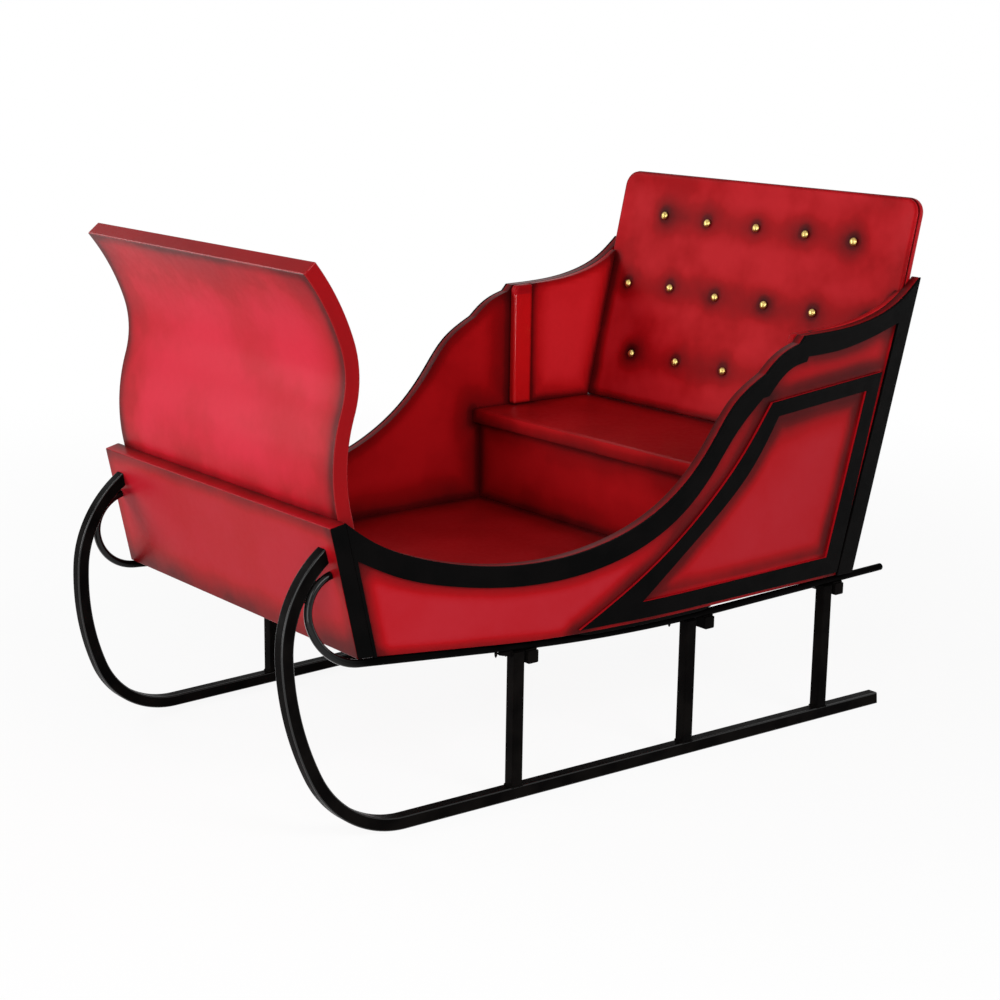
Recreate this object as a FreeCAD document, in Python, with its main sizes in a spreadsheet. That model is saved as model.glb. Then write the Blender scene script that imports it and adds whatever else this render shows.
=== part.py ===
import FreeCAD, Part
import Sketcher
import math
import os

V = FreeCAD.Vector
doc = FreeCAD.newDocument("horse_drawn_sleigh")
sheet = doc.addObject("Spreadsheet::Sheet", "sizes")

# Sizes in millimetres and degrees, one row each: alias, value, what it is.
# X points to the front of the sleigh, Y to its left, Z up, and the floor that it stands on is Z = 0.
SIZES = [
    ("body_half", 613, "half the body's width over the trims, from the tail to where it narrows"),
    ("nose_half", 524.2, "half the body's width over the trims at the nose station"),
    ("nose_x", 845, "nose station of the narrowing"),
    ("taper_x", -27, "station where the sides start to come together"),
    ("taper_blend", 120, "length of the soft bend on each side of that station"),
    ("panel_thick", 24.5, "side panel"),
    ("trim_thick", 8, "raised trim boards on the side panels"),
    ("board_gap", 0.5, "room between the sides and the boards that stand between them"),
    ("side_tail_x", -957, "tail corner of the side's outline"),
    ("side_length", 1787, "length that the side's outline follows"),
    ("side_base_z", 394, "height that the side's outline rises from"),
    ("side_rise", 793, "rise from that height to the tail corner"),
    ("tail_foot_x", -748.6, "foot of the side's tail edge"),
    ("tail_foot_rise", 7.6, "rise of the tail foot above the outline's base"),
    ("foot_bend_x", 297, "station where the two straight runs of the side's foot would meet"),
    ("foot_bend_drop", 1.35, "drop of that corner below the outline's base"),
    ("foot_radius", 3170, "soft bend in place of that corner"),
    ("nose_foot_x", 816, "station of the foot at the front board"),
    ("nose_foot_rise", 37.5, "rise of that foot above the outline's base"),
    ("board_top_x", 885, "front board, upper edge of its face"),
    ("board_top_z", 744, "height of that edge"),
    ("board_lean", 12.47, "lean of the front board from upright"),
    ("board_thick", 40, "front board"),
    ("dash_thick", 40, "curved dash board"),
    ("dash_rise", 7, "straight part of the dash above the front board"),
    ("dash_low_radius", 445, "dash, lowest bend, measured on its face"),
    ("dash_low_turn", 30.7, "turn of that bend"),
    ("dash_mid_radius", 225, "dash, hollow bend"),
    ("dash_mid_turn", 37.4, "turn of that bend"),
    ("dash_top_radius", 534, "dash, open bend at the top"),
    ("dash_top_turn", 20.6, "turn of that bend"),
    ("floor_lift", 8, "floor board above the side's lower edge"),
    ("floor_thick", 20, "floor board"),
    ("seat_z", 704, "top of the seat board"),
    ("seat_thick", 42, "seat board"),
    ("seat_front_x", -371, "front edge of the seat board"),
    ("seat_nose_radius", 14, "round of the seat's front edge"),
    ("riser_x", -402, "front face of the board under the seat"),
    ("riser_thick", 18, "board under the seat"),
    ("tail_thick", 18, "board that closes the tail under the seat"),
    ("back_foot_x", -815, "front face of the backrest at the seat"),
    ("back_lean", 12.8, "lean of the backrest"),
    ("back_height", 709, "backrest along its slope"),
    ("back_corner", 45, "corner radius of the backrest"),
    ("pad_thick", 13, "upholstered layer of the backrest"),
    ("pad_inset", 3, "upholstered layer inside the edge of the board behind it"),
    ("back_thick", 15, "board behind the upholstery"),
    ("stile_front_x", -509, "front face of the stile at the seat's side"),
    ("stile_width", 68, "stile along the side"),
    ("stile_thick", 28, "stile across"),
    ("stile_round", 8, "round of the stile's free edge"),
    ("arm_thick", 21, "inner panel from the stile to the backrest"),
    ("tube", 31.75, "square tube of the runners, posts and crossbars"),
    ("runner_inset", 34.45, "runner's outer face inside the body's outer line, at X = 0 on the ground"),
    ("runner_toe", 2.376, "angle of the runners towards each other at the front"),
    ("runner_lean", 4.97, "inward lean of the runner's bent front"),
    ("runner_tail_x", -882, "tail end of the runner"),
    ("runner_bend_x", 695, "where the runner leaves the ground"),
    ("runner_low_radius", 270, "first bend, on its outer face"),
    ("runner_low_turn", 66.2, "turn of that bend"),
    ("runner_mid_radius", 685, "second bend"),
    ("runner_mid_turn", 24.9, "turn of that bend"),
    ("runner_top_radius", 295, "third bend"),
    ("runner_top_turn", 60, "turn of that bend, trimmed on the front board"),
    ("rod_dia", 19.5, "round rod along the body's foot"),
    ("rod_low_x", -72, "station of the rod's lowest point"),
    ("rod_low_z", 357.4, "underside of the rod there"),
    ("rod_tail_x", -886, "tail end of the rod"),
    ("rod_bend_x", 809, "where the rod's front run ends and its loop starts"),
    ("rod_long_radius", 5760, "long gentle bend of the rod, on its underside"),
    ("rod_rear_turn", 2.01, "turn of that bend behind the lowest point, then straight"),
    ("rod_front_turn", 4.75, "turn of that bend in front of it, then straight"),
    ("rod_low_radius", 144, "first bend of the front loop, on its outer side"),
    ("rod_low_turn", 72, "turn of that bend"),
    ("rod_top_radius", 99, "second bend of the front loop"),
    ("rod_top_turn", 100, "turn of that bend, trimmed on the front board"),
    ("rod_lean", 9.09, "inward lean of the rod's front loop"),
    ("rod_tip_round", 4, "round of the rod's tail end"),
    ("post_front_x", 370, "front post"),
    ("post_mid_x", -179.5, "middle post"),
    ("post_rear_x", -666, "rear post"),
    ("bar_front_x", 329.5, "front crossbar"),
    ("bar_mid_x", -239.5, "middle crossbar"),
    ("bar_rear_x", -708, "rear crossbar"),
    ("bearer_width", 40, "wooden bearer on each crossbar"),
    ("bearer_inset", 20, "bearers' ends inside the floor's edges"),
    ("cut_over", 60, "how far cutting shapes run past the wood and steel"),
]
for row, (alias, value, note) in enumerate(SIZES, start=1):
    sheet.set("A%d" % row, str(value))
    sheet.setAlias("A%d" % row, alias)
    sheet.set("B%d" % row, note)
doc.recompute()


def size(alias):
    return float(sheet.get(alias))


def tan(alias):
    return math.tan(math.radians(size(alias)))


def rad(alias):
    return math.radians(size(alias))


# Outline points of the side as shares of its length and rise, from the tail corner and the lowest point.
ogee_shares = ((1.0215, 0.4759), (0.9682, 0.3844), (0.9085, 0.3227), (0.8449, 0.2813), (0.7793, 0.2557),
               (0.7129, 0.2479), (0.6467, 0.2602), (0.5822, 0.2947), (0.5216, 0.3530), (0.4674, 0.4368),
               (0.4218, 0.5466), (0.3789, 0.6622), (0.3236, 0.7380))
lobe_shares = ((0.3236, 0.7380), (0.3037, 0.7758), (0.2807, 0.8049), (0.2557, 0.8235))
shoulder_shares = ((0.2461, 0.8475), (0.1941, 0.8510), (0.1412, 0.8608), (0.0898, 0.8842), (0.0419, 0.9284), (0, 1))
# Lower edge of the trim that follows the side's upper edge.
trim_nose_shares = ((0.9555, -0.05), (0.9918, 0.3360))
trim_ogee_shares = ((0.9918, 0.3360), (0.9306, 0.2680), (0.8656, 0.2238), (0.7984, 0.1957), (0.7302, 0.1821),
                    (0.6619, 0.1867), (0.5945, 0.2129), (0.5301, 0.2634), (0.4716, 0.3402), (0.4220, 0.4446),
                    (0.3779, 0.5631), (0.3275, 0.6626))
trim_lobe_shares = ((0.3155, 0.6656), (0.2945, 0.7128), (0.2697, 0.7480), (0.2406, 0.7616))
trim_shoulder_shares = ((0.2378, 0.7781), (0.1725, 0.7855), (0.1082, 0.8122), (0.0453, 0.8525))
trim_tail_shares = ((0.0453, 0.8525), (0.157, -0.05))
# Quarter frame on the side: curved front edge, then the straight edges round its tail.
frame_curve_shares = ((0.6509, 0.0124), (0.5736, 0.1114), (0.4983, 0.2214), (0.4275, 0.3450), (0.3635, 0.4847),
                      (0.3086, 0.6431))
frame_tail_shares = ((0.0748, 0.6935), (0.1518, 0.0214))
hole_curve_shares = ((0.5448, 0.0689), (0.4769, 0.1884), (0.4074, 0.3061), (0.3438, 0.4368), (0.2935, 0.5949))
hole_tail_shares = ((0.1086, 0.6350), (0.1770, 0.0830))

wall = size("panel_thick") + size("trim_thick")
over = size("cut_over")
top_z = size("side_base_z") + size("side_rise")


def at_side(shares):
    x = size("side_tail_x") + shares[0] * size("side_length")
    z = size("side_base_z") + shares[1] * size("side_rise")
    return V(x, 0, z)


def curve(shares):
    spline = Part.BSplineCurve()
    spline.interpolate([at_side(s) for s in shares])
    return spline.toShape()


def line(a, b):
    return Part.makeLine(a, b)


def face_of(edges):
    return Part.Face(Part.Wire(Part.__sortEdges__(edges)))


def polygon(points):
    return Part.Face(Part.makePolygon(list(points) + [points[0]]))


def across(face):
    """Solid of an outline in the XZ plane, past both sides of the body."""
    reach = size("body_half") + over
    face.translate(V(0, -reach, 0))
    return face.extrude(V(0, 2 * reach, 0))


def half_at(x):
    """Half the width over the trims at station x, without the soft bend."""
    slope = (size("body_half") - size("nose_half")) / (size("nose_x") - size("taper_x"))
    return size("body_half") - slope * max(0, x - size("taper_x"))


def plan_edges(inward, hand):
    """Tail to nose line of the side's plan, moved inward, on the left (1) or right (-1)."""
    angle = math.atan((size("body_half") - size("nose_half")) / (size("nose_x") - size("taper_x")))
    half = size("body_half") - inward
    blend = size("taper_blend")
    radius = blend / math.tan(angle / 2)
    start = V(size("side_tail_x") - over, hand * half, 0)
    bend = V(size("taper_x") - blend, hand * half, 0)
    middle = V(bend.x + radius * math.sin(angle / 2), hand * (half - radius * (1 - math.cos(angle / 2))), 0)
    leave = V(bend.x + radius * math.sin(angle), hand * (half - radius * (1 - math.cos(angle))), 0)
    run = size("board_top_x") + over - leave.x
    end = V(leave.x + run, hand * (half - radius * (1 - math.cos(angle)) - run * math.tan(angle)), 0)
    return [line(start, bend), Part.Arc(bend, middle, leave).toShape(), line(leave, end)], start, end


def plan_strip(outer, inner, hand):
    """Upright slab that follows the side's plan between two inward distances."""
    edges_a, start_a, end_a = plan_edges(outer, hand)
    edges_b, start_b, end_b = plan_edges(inner, hand)
    face = face_of(edges_a + edges_b + [line(start_a, start_b), line(end_a, end_b)])
    return face.extrude(V(0, 0, top_z + over))


def plan_block(inward):
    """Upright block between the two sides, an inward distance from their outer line."""
    edges_a, start_a, end_a = plan_edges(inward, 1)
    edges_b, start_b, end_b = plan_edges(inward, -1)
    face = face_of(edges_a + edges_b + [line(start_a, start_b), line(end_a, end_b)])
    return face.extrude(V(0, 0, top_z + over))


def board_slab(ahead, behind):
    """Leaning slab of the front board's slope, from its face back by two distances."""
    along = V(math.sin(rad("board_lean")), 0, math.cos(rad("board_lean")))
    normal = V(math.cos(rad("board_lean")), 0, -math.sin(rad("board_lean")))
    edge = V(size("board_top_x"), 0, size("board_top_z"))
    reach = size("board_top_z") + over
    low = edge - along * reach
    high = edge + along * reach
    return across(polygon([low + normal * ahead, high + normal * ahead, high - normal * behind, low - normal * behind]))


def foot_ends(lift):
    """Tail, meeting point and nose of the two runs of the body's foot, raised by lift."""
    base = size("side_base_z") + lift
    return (V(size("tail_foot_x"), 0, base + size("tail_foot_rise")),
            V(size("foot_bend_x"), 0, base - size("foot_bend_drop")),
            V(size("nose_foot_x"), 0, base + size("nose_foot_rise")))


def foot_bend(lift):
    """Start, middle and end of the soft bend between the runs, and the bend's centre."""
    tail, corner, nose = foot_ends(lift)
    back = (tail - corner).normalize()
    ahead = (nose - corner).normalize()
    half = back.getAngle(ahead) / 2
    radius = size("foot_radius")
    centre = corner + (back + ahead).normalize() * (radius / math.sin(half))
    reach = radius / math.tan(half)
    middle = centre + (corner - centre).normalize() * radius
    return corner + back * reach, middle, corner + ahead * reach, centre


def foot_edges(lift):
    """The body's foot from the tail to under the front board: run, soft bend, run."""
    tail, corner, nose = foot_ends(lift)
    start, middle, end, centre = foot_bend(lift)
    return [line(tail, start), Part.Arc(start, middle, end).toShape(), line(end, nose)], tail, nose


def foot_z(x, lift):
    """Height of the foot at station x."""
    tail, corner, nose = foot_ends(lift)
    start, middle, end, centre = foot_bend(lift)
    if x < start.x:
        return start.z + (x - start.x) * (tail.z - start.z) / (tail.x - start.x)
    if x > end.x:
        return end.z + (x - end.x) * (nose.z - end.z) / (nose.x - end.x)
    return centre.z - math.sqrt(size("foot_radius") ** 2 - (x - centre.x) ** 2)


def side_face():
    """Outline of the side: foot, nose, ogee, lobe, shoulder and tail edge."""
    foot, tail, nose = foot_edges(0)
    nose_out = V(at_side(ogee_shares[0]).x, 0, nose.z)
    return face_of(foot + [
        line(nose, nose_out),
        line(nose_out, at_side(ogee_shares[0])),
        curve(ogee_shares),
        curve(lobe_shares),
        line(at_side(lobe_shares[-1]), at_side(shoulder_shares[0])),
        curve(shoulder_shares),
        line(at_side(shoulder_shares[-1]), tail),
    ])


def trim_hole_face():
    """What the edge trim leaves open: the middle of the side, open at the foot."""
    return face_of([
        line(at_side(trim_nose_shares[0]), at_side(trim_nose_shares[1])),
        curve(trim_ogee_shares),
        line(at_side(trim_ogee_shares[-1]), at_side(trim_lobe_shares[0])),
        curve(trim_lobe_shares),
        line(at_side(trim_lobe_shares[-1]), at_side(trim_shoulder_shares[0])),
        curve(trim_shoulder_shares),
        line(at_side(trim_tail_shares[0]), at_side(trim_tail_shares[1])),
        line(at_side(trim_tail_shares[1]), at_side(trim_nose_shares[0])),
    ])


def ring_face(curve_shares, tail_shares):
    first = at_side(curve_shares[0])
    last = at_side(curve_shares[-1])
    corners = [last] + [at_side(s) for s in tail_shares] + [first]
    return face_of([curve(curve_shares)] + [line(a, b) for a, b in zip(corners, corners[1:])])


def add(name, shape):
    """One sub-part from a shape worked out from the sheet's sizes."""
    solids = shape.Solids
    feature = doc.addObject("Part::Feature", name)
    feature.Shape = solids[0] if len(solids) == 1 else shape
    feature.Label = name
    feature.Placement = FreeCAD.Placement()
    return feature


# Front board across the nose: it covers the ends of the side panels.
board_foot_z = size("side_base_z") + size("nose_foot_rise")
front_cut = board_slab(over * 4, size("board_thick"))
top_edge = V(size("board_top_x"), 0, size("board_top_z"))
back_dir = V(-math.cos(rad("board_lean")), 0, math.sin(rad("board_lean")))
board_back_top = top_edge + back_dir * size("board_thick")
foot_run = (board_foot_z - size("board_top_z")) * tan("board_lean")
board_profile = polygon([
    top_edge,
    board_back_top,
    V(board_back_top.x + (board_foot_z - board_back_top.z) * tan("board_lean"), 0, board_foot_z),
    V(size("board_top_x") + foot_run, 0, board_foot_z),
])
add("front_board", across(board_profile).common(plan_block(0)))

# Side panels, their edge trims and the quarter frames.
side_prism = across(side_face())
trim_hole = across(trim_hole_face())
frame_ring = across(ring_face(frame_curve_shares, frame_tail_shares))
frame_ring = frame_ring.cut(across(ring_face(hole_curve_shares, hole_tail_shares)))
edge_prism = side_prism.cut(trim_hole).cut(front_cut)
panel_prism = side_prism.cut(front_cut)
for hand, word in ((1, "left"), (-1, "right")):
    panel_strip = plan_strip(size("trim_thick"), wall, hand)
    trim_strip = plan_strip(0, size("trim_thick"), hand)
    add("side_" + word, panel_prism.common(panel_strip))
    add("edge_band_" + word, edge_prism.common(trim_strip))
    add("quarter_frame_" + word, frame_ring.common(trim_strip))

# Floor board along the line of the body's foot.
floor_low, floor_low_tail, floor_low_nose = foot_edges(size("floor_lift"))
floor_top, floor_top_tail, floor_top_nose = foot_edges(size("floor_lift") + size("floor_thick"))
floor_face = face_of(floor_low + floor_top + [
    line(floor_low_nose, floor_top_nose), line(floor_low_tail, floor_top_tail)])
tail_foot = foot_ends(0)[0]
tail_dir = (at_side(shoulder_shares[-1]) - tail_foot).normalize()
tail_in = V(tail_dir.z, 0, -tail_dir.x)
tail_top_z = size("seat_z") - size("seat_thick")


def on_tail(z, inward):
    """Point on the tail edge's slope at height z, moved forward square to it."""
    base = tail_foot + tail_in * inward
    return V(base.x + (z - base.z) * tail_dir.x / tail_dir.z, 0, z)


behind_tail = across(polygon([
    on_tail(0, size("tail_thick")), on_tail(top_z, size("tail_thick")),
    V(size("side_tail_x") - over, 0, top_z), V(size("side_tail_x") - over, 0, 0)]))
inside = plan_block(wall + size("board_gap"))
add("floor", across(floor_face).cut(front_cut).cut(behind_tail).common(inside))

# Board that closes the tail, on the slope of the side's tail edge.
inner_half = size("body_half") - wall - size("board_gap")
tail_low_z = size("side_base_z") + size("tail_foot_rise")
tail_face = polygon([
    on_tail(tail_low_z, 0), on_tail(tail_top_z, 0), on_tail(tail_top_z, size("tail_thick")),
    on_tail(tail_low_z, size("tail_thick"))])
tail_face.translate(V(0, -inner_half, 0))
add("tail_board", tail_face.extrude(V(0, 2 * inner_half, 0)))

# Curved dash: its face leaves the front board's slope, bends back, then sweeps forward.


def turtle(start, heading, legs):
    """Edges of straight and bent legs in the XZ plane. Heading is from upright, forward positive."""
    edges = []
    point = start
    for radius, turn in legs:
        if turn == 0:
            after = point + V(math.sin(heading), 0, math.cos(heading)) * radius
            edges.append(line(point, after))
        else:
            sign = 1 if turn > 0 else -1
            centre = point + V(math.cos(heading), 0, -math.sin(heading)) * (sign * radius)
            ends = []
            for part in (turn / 2, turn):
                way = heading + part
                ends.append(centre - V(math.cos(way), 0, -math.sin(way)) * (sign * radius))
            edges.append(Part.Arc(point, ends[0], ends[1]).toShape())
            heading = heading + turn
            after = ends[1]
        point = after
    return edges, point


dash_foot_z = foot_z(size("nose_foot_x"), size("floor_lift") + size("floor_thick"))
foot_x = board_back_top.x + (dash_foot_z - board_back_top.z) * tan("board_lean")
dash_foot = V(foot_x, 0, dash_foot_z)
dash_straight = (board_back_top - dash_foot).Length + size("dash_rise")
thick = size("dash_thick")
legs = (
    (size("dash_low_radius"), -rad("dash_low_turn")),
    (size("dash_mid_radius"), rad("dash_mid_turn")),
    (size("dash_top_radius"), rad("dash_top_turn")),
)
face_edges, face_end = turtle(dash_foot, rad("board_lean"), ((dash_straight, 0),) + legs)
rear_legs = tuple((radius + (thick if turn > 0 else -thick), turn) for radius, turn in legs)
rear_start = dash_foot + back_dir * thick
rear_edges, rear_end = turtle(rear_start, rad("board_lean"), ((dash_straight, 0),) + rear_legs)
dash_face = face_of(face_edges + rear_edges + [line(dash_foot, rear_start), line(face_end, rear_end)])
dash_half = half_at(board_back_top.x) - wall - size("board_gap")
dash_face.translate(V(0, -dash_half, 0))
add("dash", dash_face.extrude(V(0, 2 * dash_half, 0)))

# Seat board, riser and backrest: drawn in sketches whose points follow the sheet.


def evaluate(expression):
    value = sheet.evalExpression(expression.replace("sizes.", ""))
    return float(getattr(value, "Value", value))


def body_sketch(name, points):
    """Body with a closed sketch on its own XZ plane. Points are pairs of expressions."""
    body = doc.addObject("PartDesign::Body", name)
    body.Label = name
    sketch = body.newObject("Sketcher::SketchObject", name + "_outline")
    plane = [f for f in body.Origin.OriginFeatures if f.Role == "XZ_Plane"][0]
    sketch.AttachmentSupport = (plane, "")
    sketch.MapMode = "FlatFace"
    values = [(evaluate(a), evaluate(b)) for a, b in points]
    count = len(points)
    for i, (a, b) in enumerate(values):
        c, d = values[(i + 1) % count]
        sketch.addGeometry(Part.LineSegment(V(a, b, 0), V(c, d, 0)), False)
    for i in range(count):
        sketch.addConstraint(Sketcher.Constraint("Coincident", i, 2, (i + 1) % count, 1))
    for i, pair in enumerate(points):
        for kind, expression, value in zip(("DistanceX", "DistanceY"), pair, values[i]):
            index = sketch.addConstraint(Sketcher.Constraint(kind, -1, 1, i, 1, value))
            sketch.setExpression("Constraints[%d]" % index, expression)
    doc.recompute()
    return body, sketch


def pad_both_ways(body, sketch, length):
    pad = body.newObject("PartDesign::Pad", body.Name + "_pad")
    pad.Profile = sketch
    pad.Midplane = True
    pad.setExpression("Length", length)
    doc.recompute()
    return pad


def round_edges(body, base, name, radius, wanted):
    """Fillet on the base's edges that the wanted test picks."""
    names = ["Edge%d" % (i + 1) for i, edge in enumerate(base.Shape.Edges) if wanted(edge)]
    fillet = body.newObject("PartDesign::Fillet", body.Name + "_" + name)
    fillet.Base = (base, names)
    fillet.setExpression("Radius", radius)
    doc.recompute()
    body.Tip = fillet
    return fillet


def near(a, b):
    return abs(a - b) < size("board_gap")


INNER_WIDTH = "2 * (sizes.body_half - sizes.trim_thick - sizes.panel_thick - sizes.board_gap)"
BACK_RUN = "(sizes.pad_thick + sizes.back_thick)"
SEAT_BACK = "sizes.back_foot_x - %s / cos(sizes.back_lean * 1 deg)" % BACK_RUN

seat, outline = body_sketch("seat", (
    ("sizes.seat_front_x", "sizes.seat_z"),
    (SEAT_BACK, "sizes.seat_z"),
    (SEAT_BACK, "sizes.seat_z - sizes.seat_thick"),
    ("sizes.seat_front_x", "sizes.seat_z - sizes.seat_thick"),
))
pad = pad_both_ways(seat, outline, INNER_WIDTH)
round_edges(seat, pad, "nose", "sizes.seat_nose_radius", lambda edge: all(
    near(p.Point.x, size("seat_front_x")) and near(p.Point.z, size("seat_z")) for p in edge.Vertexes))

riser_foot_z = foot_z(size("riser_x") - size("riser_thick"), size("floor_lift") + size("floor_thick"))
sheet.set("A%d" % (len(SIZES) + 1), str(riser_foot_z))
sheet.setAlias("A%d" % (len(SIZES) + 1), "riser_foot_z")
doc.recompute()
riser, outline = body_sketch("seat_riser", (
    ("sizes.riser_x", "sizes.riser_foot_z"),
    ("sizes.riser_x", "sizes.seat_z - sizes.seat_thick"),
    ("sizes.riser_x - sizes.riser_thick", "sizes.seat_z - sizes.seat_thick"),
    ("sizes.riser_x - sizes.riser_thick", "sizes.riser_foot_z"),
))
pad_both_ways(riser, outline, INNER_WIDTH)


def upright_board(name, front, thick, inset):
    """Board of the backrest with two rounded upper corners, leaning on its foot at the seat."""
    foot = "sizes.%s * tan(sizes.back_lean * 1 deg)" % thick
    body, outline = body_sketch(name, (
        ("0", "0"),
        ("0", "sizes.back_height - %s" % inset),
        ("-sizes.%s" % thick, "sizes.back_height - %s" % inset),
        ("-sizes.%s" % thick, foot),
    ))
    pad = pad_both_ways(body, outline, INNER_WIDTH + " - 2 * %s" % inset)
    high = size("back_height") - evaluate(inset)
    round_edges(body, pad, "corners", "sizes.back_corner", lambda edge: (
        all(near(p.Point.z, high) for p in edge.Vertexes)
        and near(edge.Vertexes[0].Point.y, edge.Vertexes[1].Point.y)))
    axis = FreeCAD.Rotation(V(0, 1, 0), -size("back_lean"))
    ahead = front / math.cos(rad("back_lean"))
    body.Placement = FreeCAD.Placement(V(size("back_foot_x") - ahead, 0, size("seat_z")), axis)
    return body


upright_board("back_pad", 0, "pad_thick", "sizes.pad_inset")
upright_board("back_board", size("pad_thick"), "back_thick", "0")

# Stiles and inner panels on the inside of the sides, above the seat.
inner_face = size("body_half") - wall
stile_back_x = size("stile_front_x") - size("stile_width")
before_pad = across(polygon([
    V(size("back_foot_x") - (top_z - size("seat_z")) * tan("back_lean"), 0, top_z),
    V(size("back_foot_x"), 0, size("seat_z")),
    V(size("board_top_x"), 0, size("seat_z")), V(size("board_top_x"), 0, top_z)]))
for hand, word in ((1, "left"), (-1, "right")):
    free_face = hand * (inner_face - size("stile_thick"))
    stile = side_prism.common(Part.makeBox(
        size("stile_width"), size("stile_thick"), top_z,
        V(stile_back_x, min(hand * inner_face, free_face), size("seat_z"))))
    upright = [edge for edge in stile.Edges if all(
        near(p.Point.x, size("stile_front_x")) and near(p.Point.y, free_face) for p in edge.Vertexes)]
    add("stile_" + word, stile.makeFillet(size("stile_round"), upright))
    arm = side_prism.common(before_pad).common(Part.makeBox(
        stile_back_x - size("side_tail_x"), size("arm_thick"), top_z,
        V(size("side_tail_x"), min(hand * inner_face, hand * (inner_face - size("arm_thick"))), size("seat_z"))))
    add("arm_" + word, arm)


# Runners: square tube flat on the ground, bent up in a plane that leans inward, trimmed on the front board.
tube = size("tube")
toe = tan("runner_toe")
runner_half = size("body_half") - size("runner_inset")
lean = tan("runner_lean")


def ground_path(radius_in):
    """Edges of the runner's outline, moved inward by radius_in, and its two end points."""
    edges = []
    heading = 0
    point = V(size("runner_bend_x"), 0, radius_in)
    start = V(size("runner_tail_x"), 0, radius_in)
    edges.append(line(start, point))
    for bend in ("low", "mid", "top"):
        radius = size("runner_%s_radius" % bend) - radius_in
        turn = rad("runner_%s_turn" % bend)
        centre = point + V(-math.sin(heading), 0, math.cos(heading)) * radius
        half, full = [centre + V(math.sin(way), 0, -math.cos(way)) * radius
                      for way in (heading + turn / 2, heading + turn)]
        edges.append(Part.Arc(point, half, full).toShape())
        point = full
        heading = heading + turn
    return edges, start, point


outer_path, outer_start, outer_end = ground_path(0)
inner_path, inner_start, inner_end = ground_path(tube)
runner_prism = across(face_of(
    outer_path + inner_path + [line(outer_start, inner_start), line(outer_end, inner_end)]))
behind_face = board_slab(0, over * 4).common(across(polygon([
    V(size("side_tail_x"), 0, board_foot_z), V(size("board_top_x") + over, 0, board_foot_z),
    V(size("board_top_x") + over, 0, top_z), V(size("side_tail_x"), 0, top_z)])))


def runner_y(x, z):
    """Outer face of the runner's plane at a station and height."""
    return runner_half - toe * x - lean * z


for hand, word in ((1, "left"), (-1, "right")):
    low_x = size("runner_tail_x") - over
    high_x = size("board_top_x") + size("runner_low_radius")
    rise = size("board_top_z")
    slab_foot = polygon([
        V(low_x, hand * runner_y(low_x, 0), 0), V(high_x, hand * runner_y(high_x, 0), 0),
        V(high_x, hand * (runner_y(high_x, 0) - tube), 0), V(low_x, hand * (runner_y(low_x, 0) - tube), 0)])
    slab = slab_foot.extrude(V(0, -hand * lean * rise, rise))
    add("runner_" + word, runner_prism.common(slab).cut(behind_face))

# Round rods along the body's foot, each with a loop at the front that ends on the front board.
rod_r = size("rod_dia") / 2
rod_rear_x = size("rod_low_x") - size("rod_long_radius") * math.sin(rad("rod_rear_turn"))
rod_front_x = size("rod_low_x") + size("rod_long_radius") * math.sin(rad("rod_front_turn"))


def rod_z(x):
    """Height of the rod's underside at station x: straight, long bend, straight."""
    inner = max(rod_rear_x, min(rod_front_x, x))
    height = size("rod_low_z") + size("rod_long_radius") - math.sqrt(
        size("rod_long_radius") ** 2 - (inner - size("rod_low_x")) ** 2)
    turn = "rod_front_turn" if x > inner else "rod_rear_turn"
    return height + abs(x - inner) * tan(turn)


def rod_path():
    """Middle line of the rod in its own plane."""
    centre = V(size("rod_low_x"), 0, size("rod_low_z") + size("rod_long_radius"))
    radius = size("rod_long_radius") - rod_r
    rear, low, front = [centre + V(math.sin(way), 0, -math.cos(way)) * radius
                        for way in (-rad("rod_rear_turn"), 0, rad("rod_front_turn"))]
    start = V(size("rod_tail_x"), 0, rear.z + (rear.x - size("rod_tail_x")) * tan("rod_rear_turn"))
    point = V(size("rod_bend_x"), 0, front.z + (size("rod_bend_x") - front.x) * tan("rod_front_turn"))
    edges = [line(start, rear), Part.Arc(rear, low, front).toShape(), line(front, point)]
    heading = rad("rod_front_turn")
    for bend in ("low", "top"):
        radius = size("rod_%s_radius" % bend) - rod_r
        turn = rad("rod_%s_turn" % bend)
        centre = point + V(-math.sin(heading), 0, math.cos(heading)) * radius
        half, full = [centre + V(math.sin(way), 0, -math.cos(way)) * radius
                      for way in (heading + turn / 2, heading + turn)]
        edges.append(Part.Arc(point, half, full).toShape())
        point = full
        heading = heading + turn
    return Part.Wire(edges), start


path, rod_start = rod_path()
first_way = path.Edges[0].tangentAt(path.Edges[0].FirstParameter)
section = Part.Face(Part.Wire([Part.makeCircle(rod_r, rod_start, first_way)]))
rod = path.makePipe(section)
tip = [edge for edge in rod.Edges if near(edge.BoundBox.Center.distanceToPoint(rod_start), 0)]
rod = rod.makeFillet(size("rod_tip_round"), tip)
for hand, word in ((1, "left"), (-1, "right")):
    one = rod.copy()
    pivot = V(0, 0, size("rod_low_z") + rod_r)
    one.rotate(pivot, V(1, 0, 0), hand * size("rod_lean"))
    one.translate(V(0, hand * (runner_half - tube / 2), 0))
    one.rotate(V(0, hand * (runner_half - tube / 2), 0), V(0, 0, 1), -hand * size("runner_toe"))
    add("rail_" + word, one.cut(behind_face))


# Posts between the runners and the rods, crossbars under the rods, wooden bearers under the floor.


def block(name, sizes_of, corner, turn):
    box = doc.addObject("Part::Box", name)
    box.Label = name
    for prop, expression in zip(("Length", "Width", "Height"), sizes_of):
        box.setExpression(prop, expression)
    box.Placement = FreeCAD.Placement(corner, FreeCAD.Rotation(V(0, 0, 1), turn))
    return box


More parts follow.
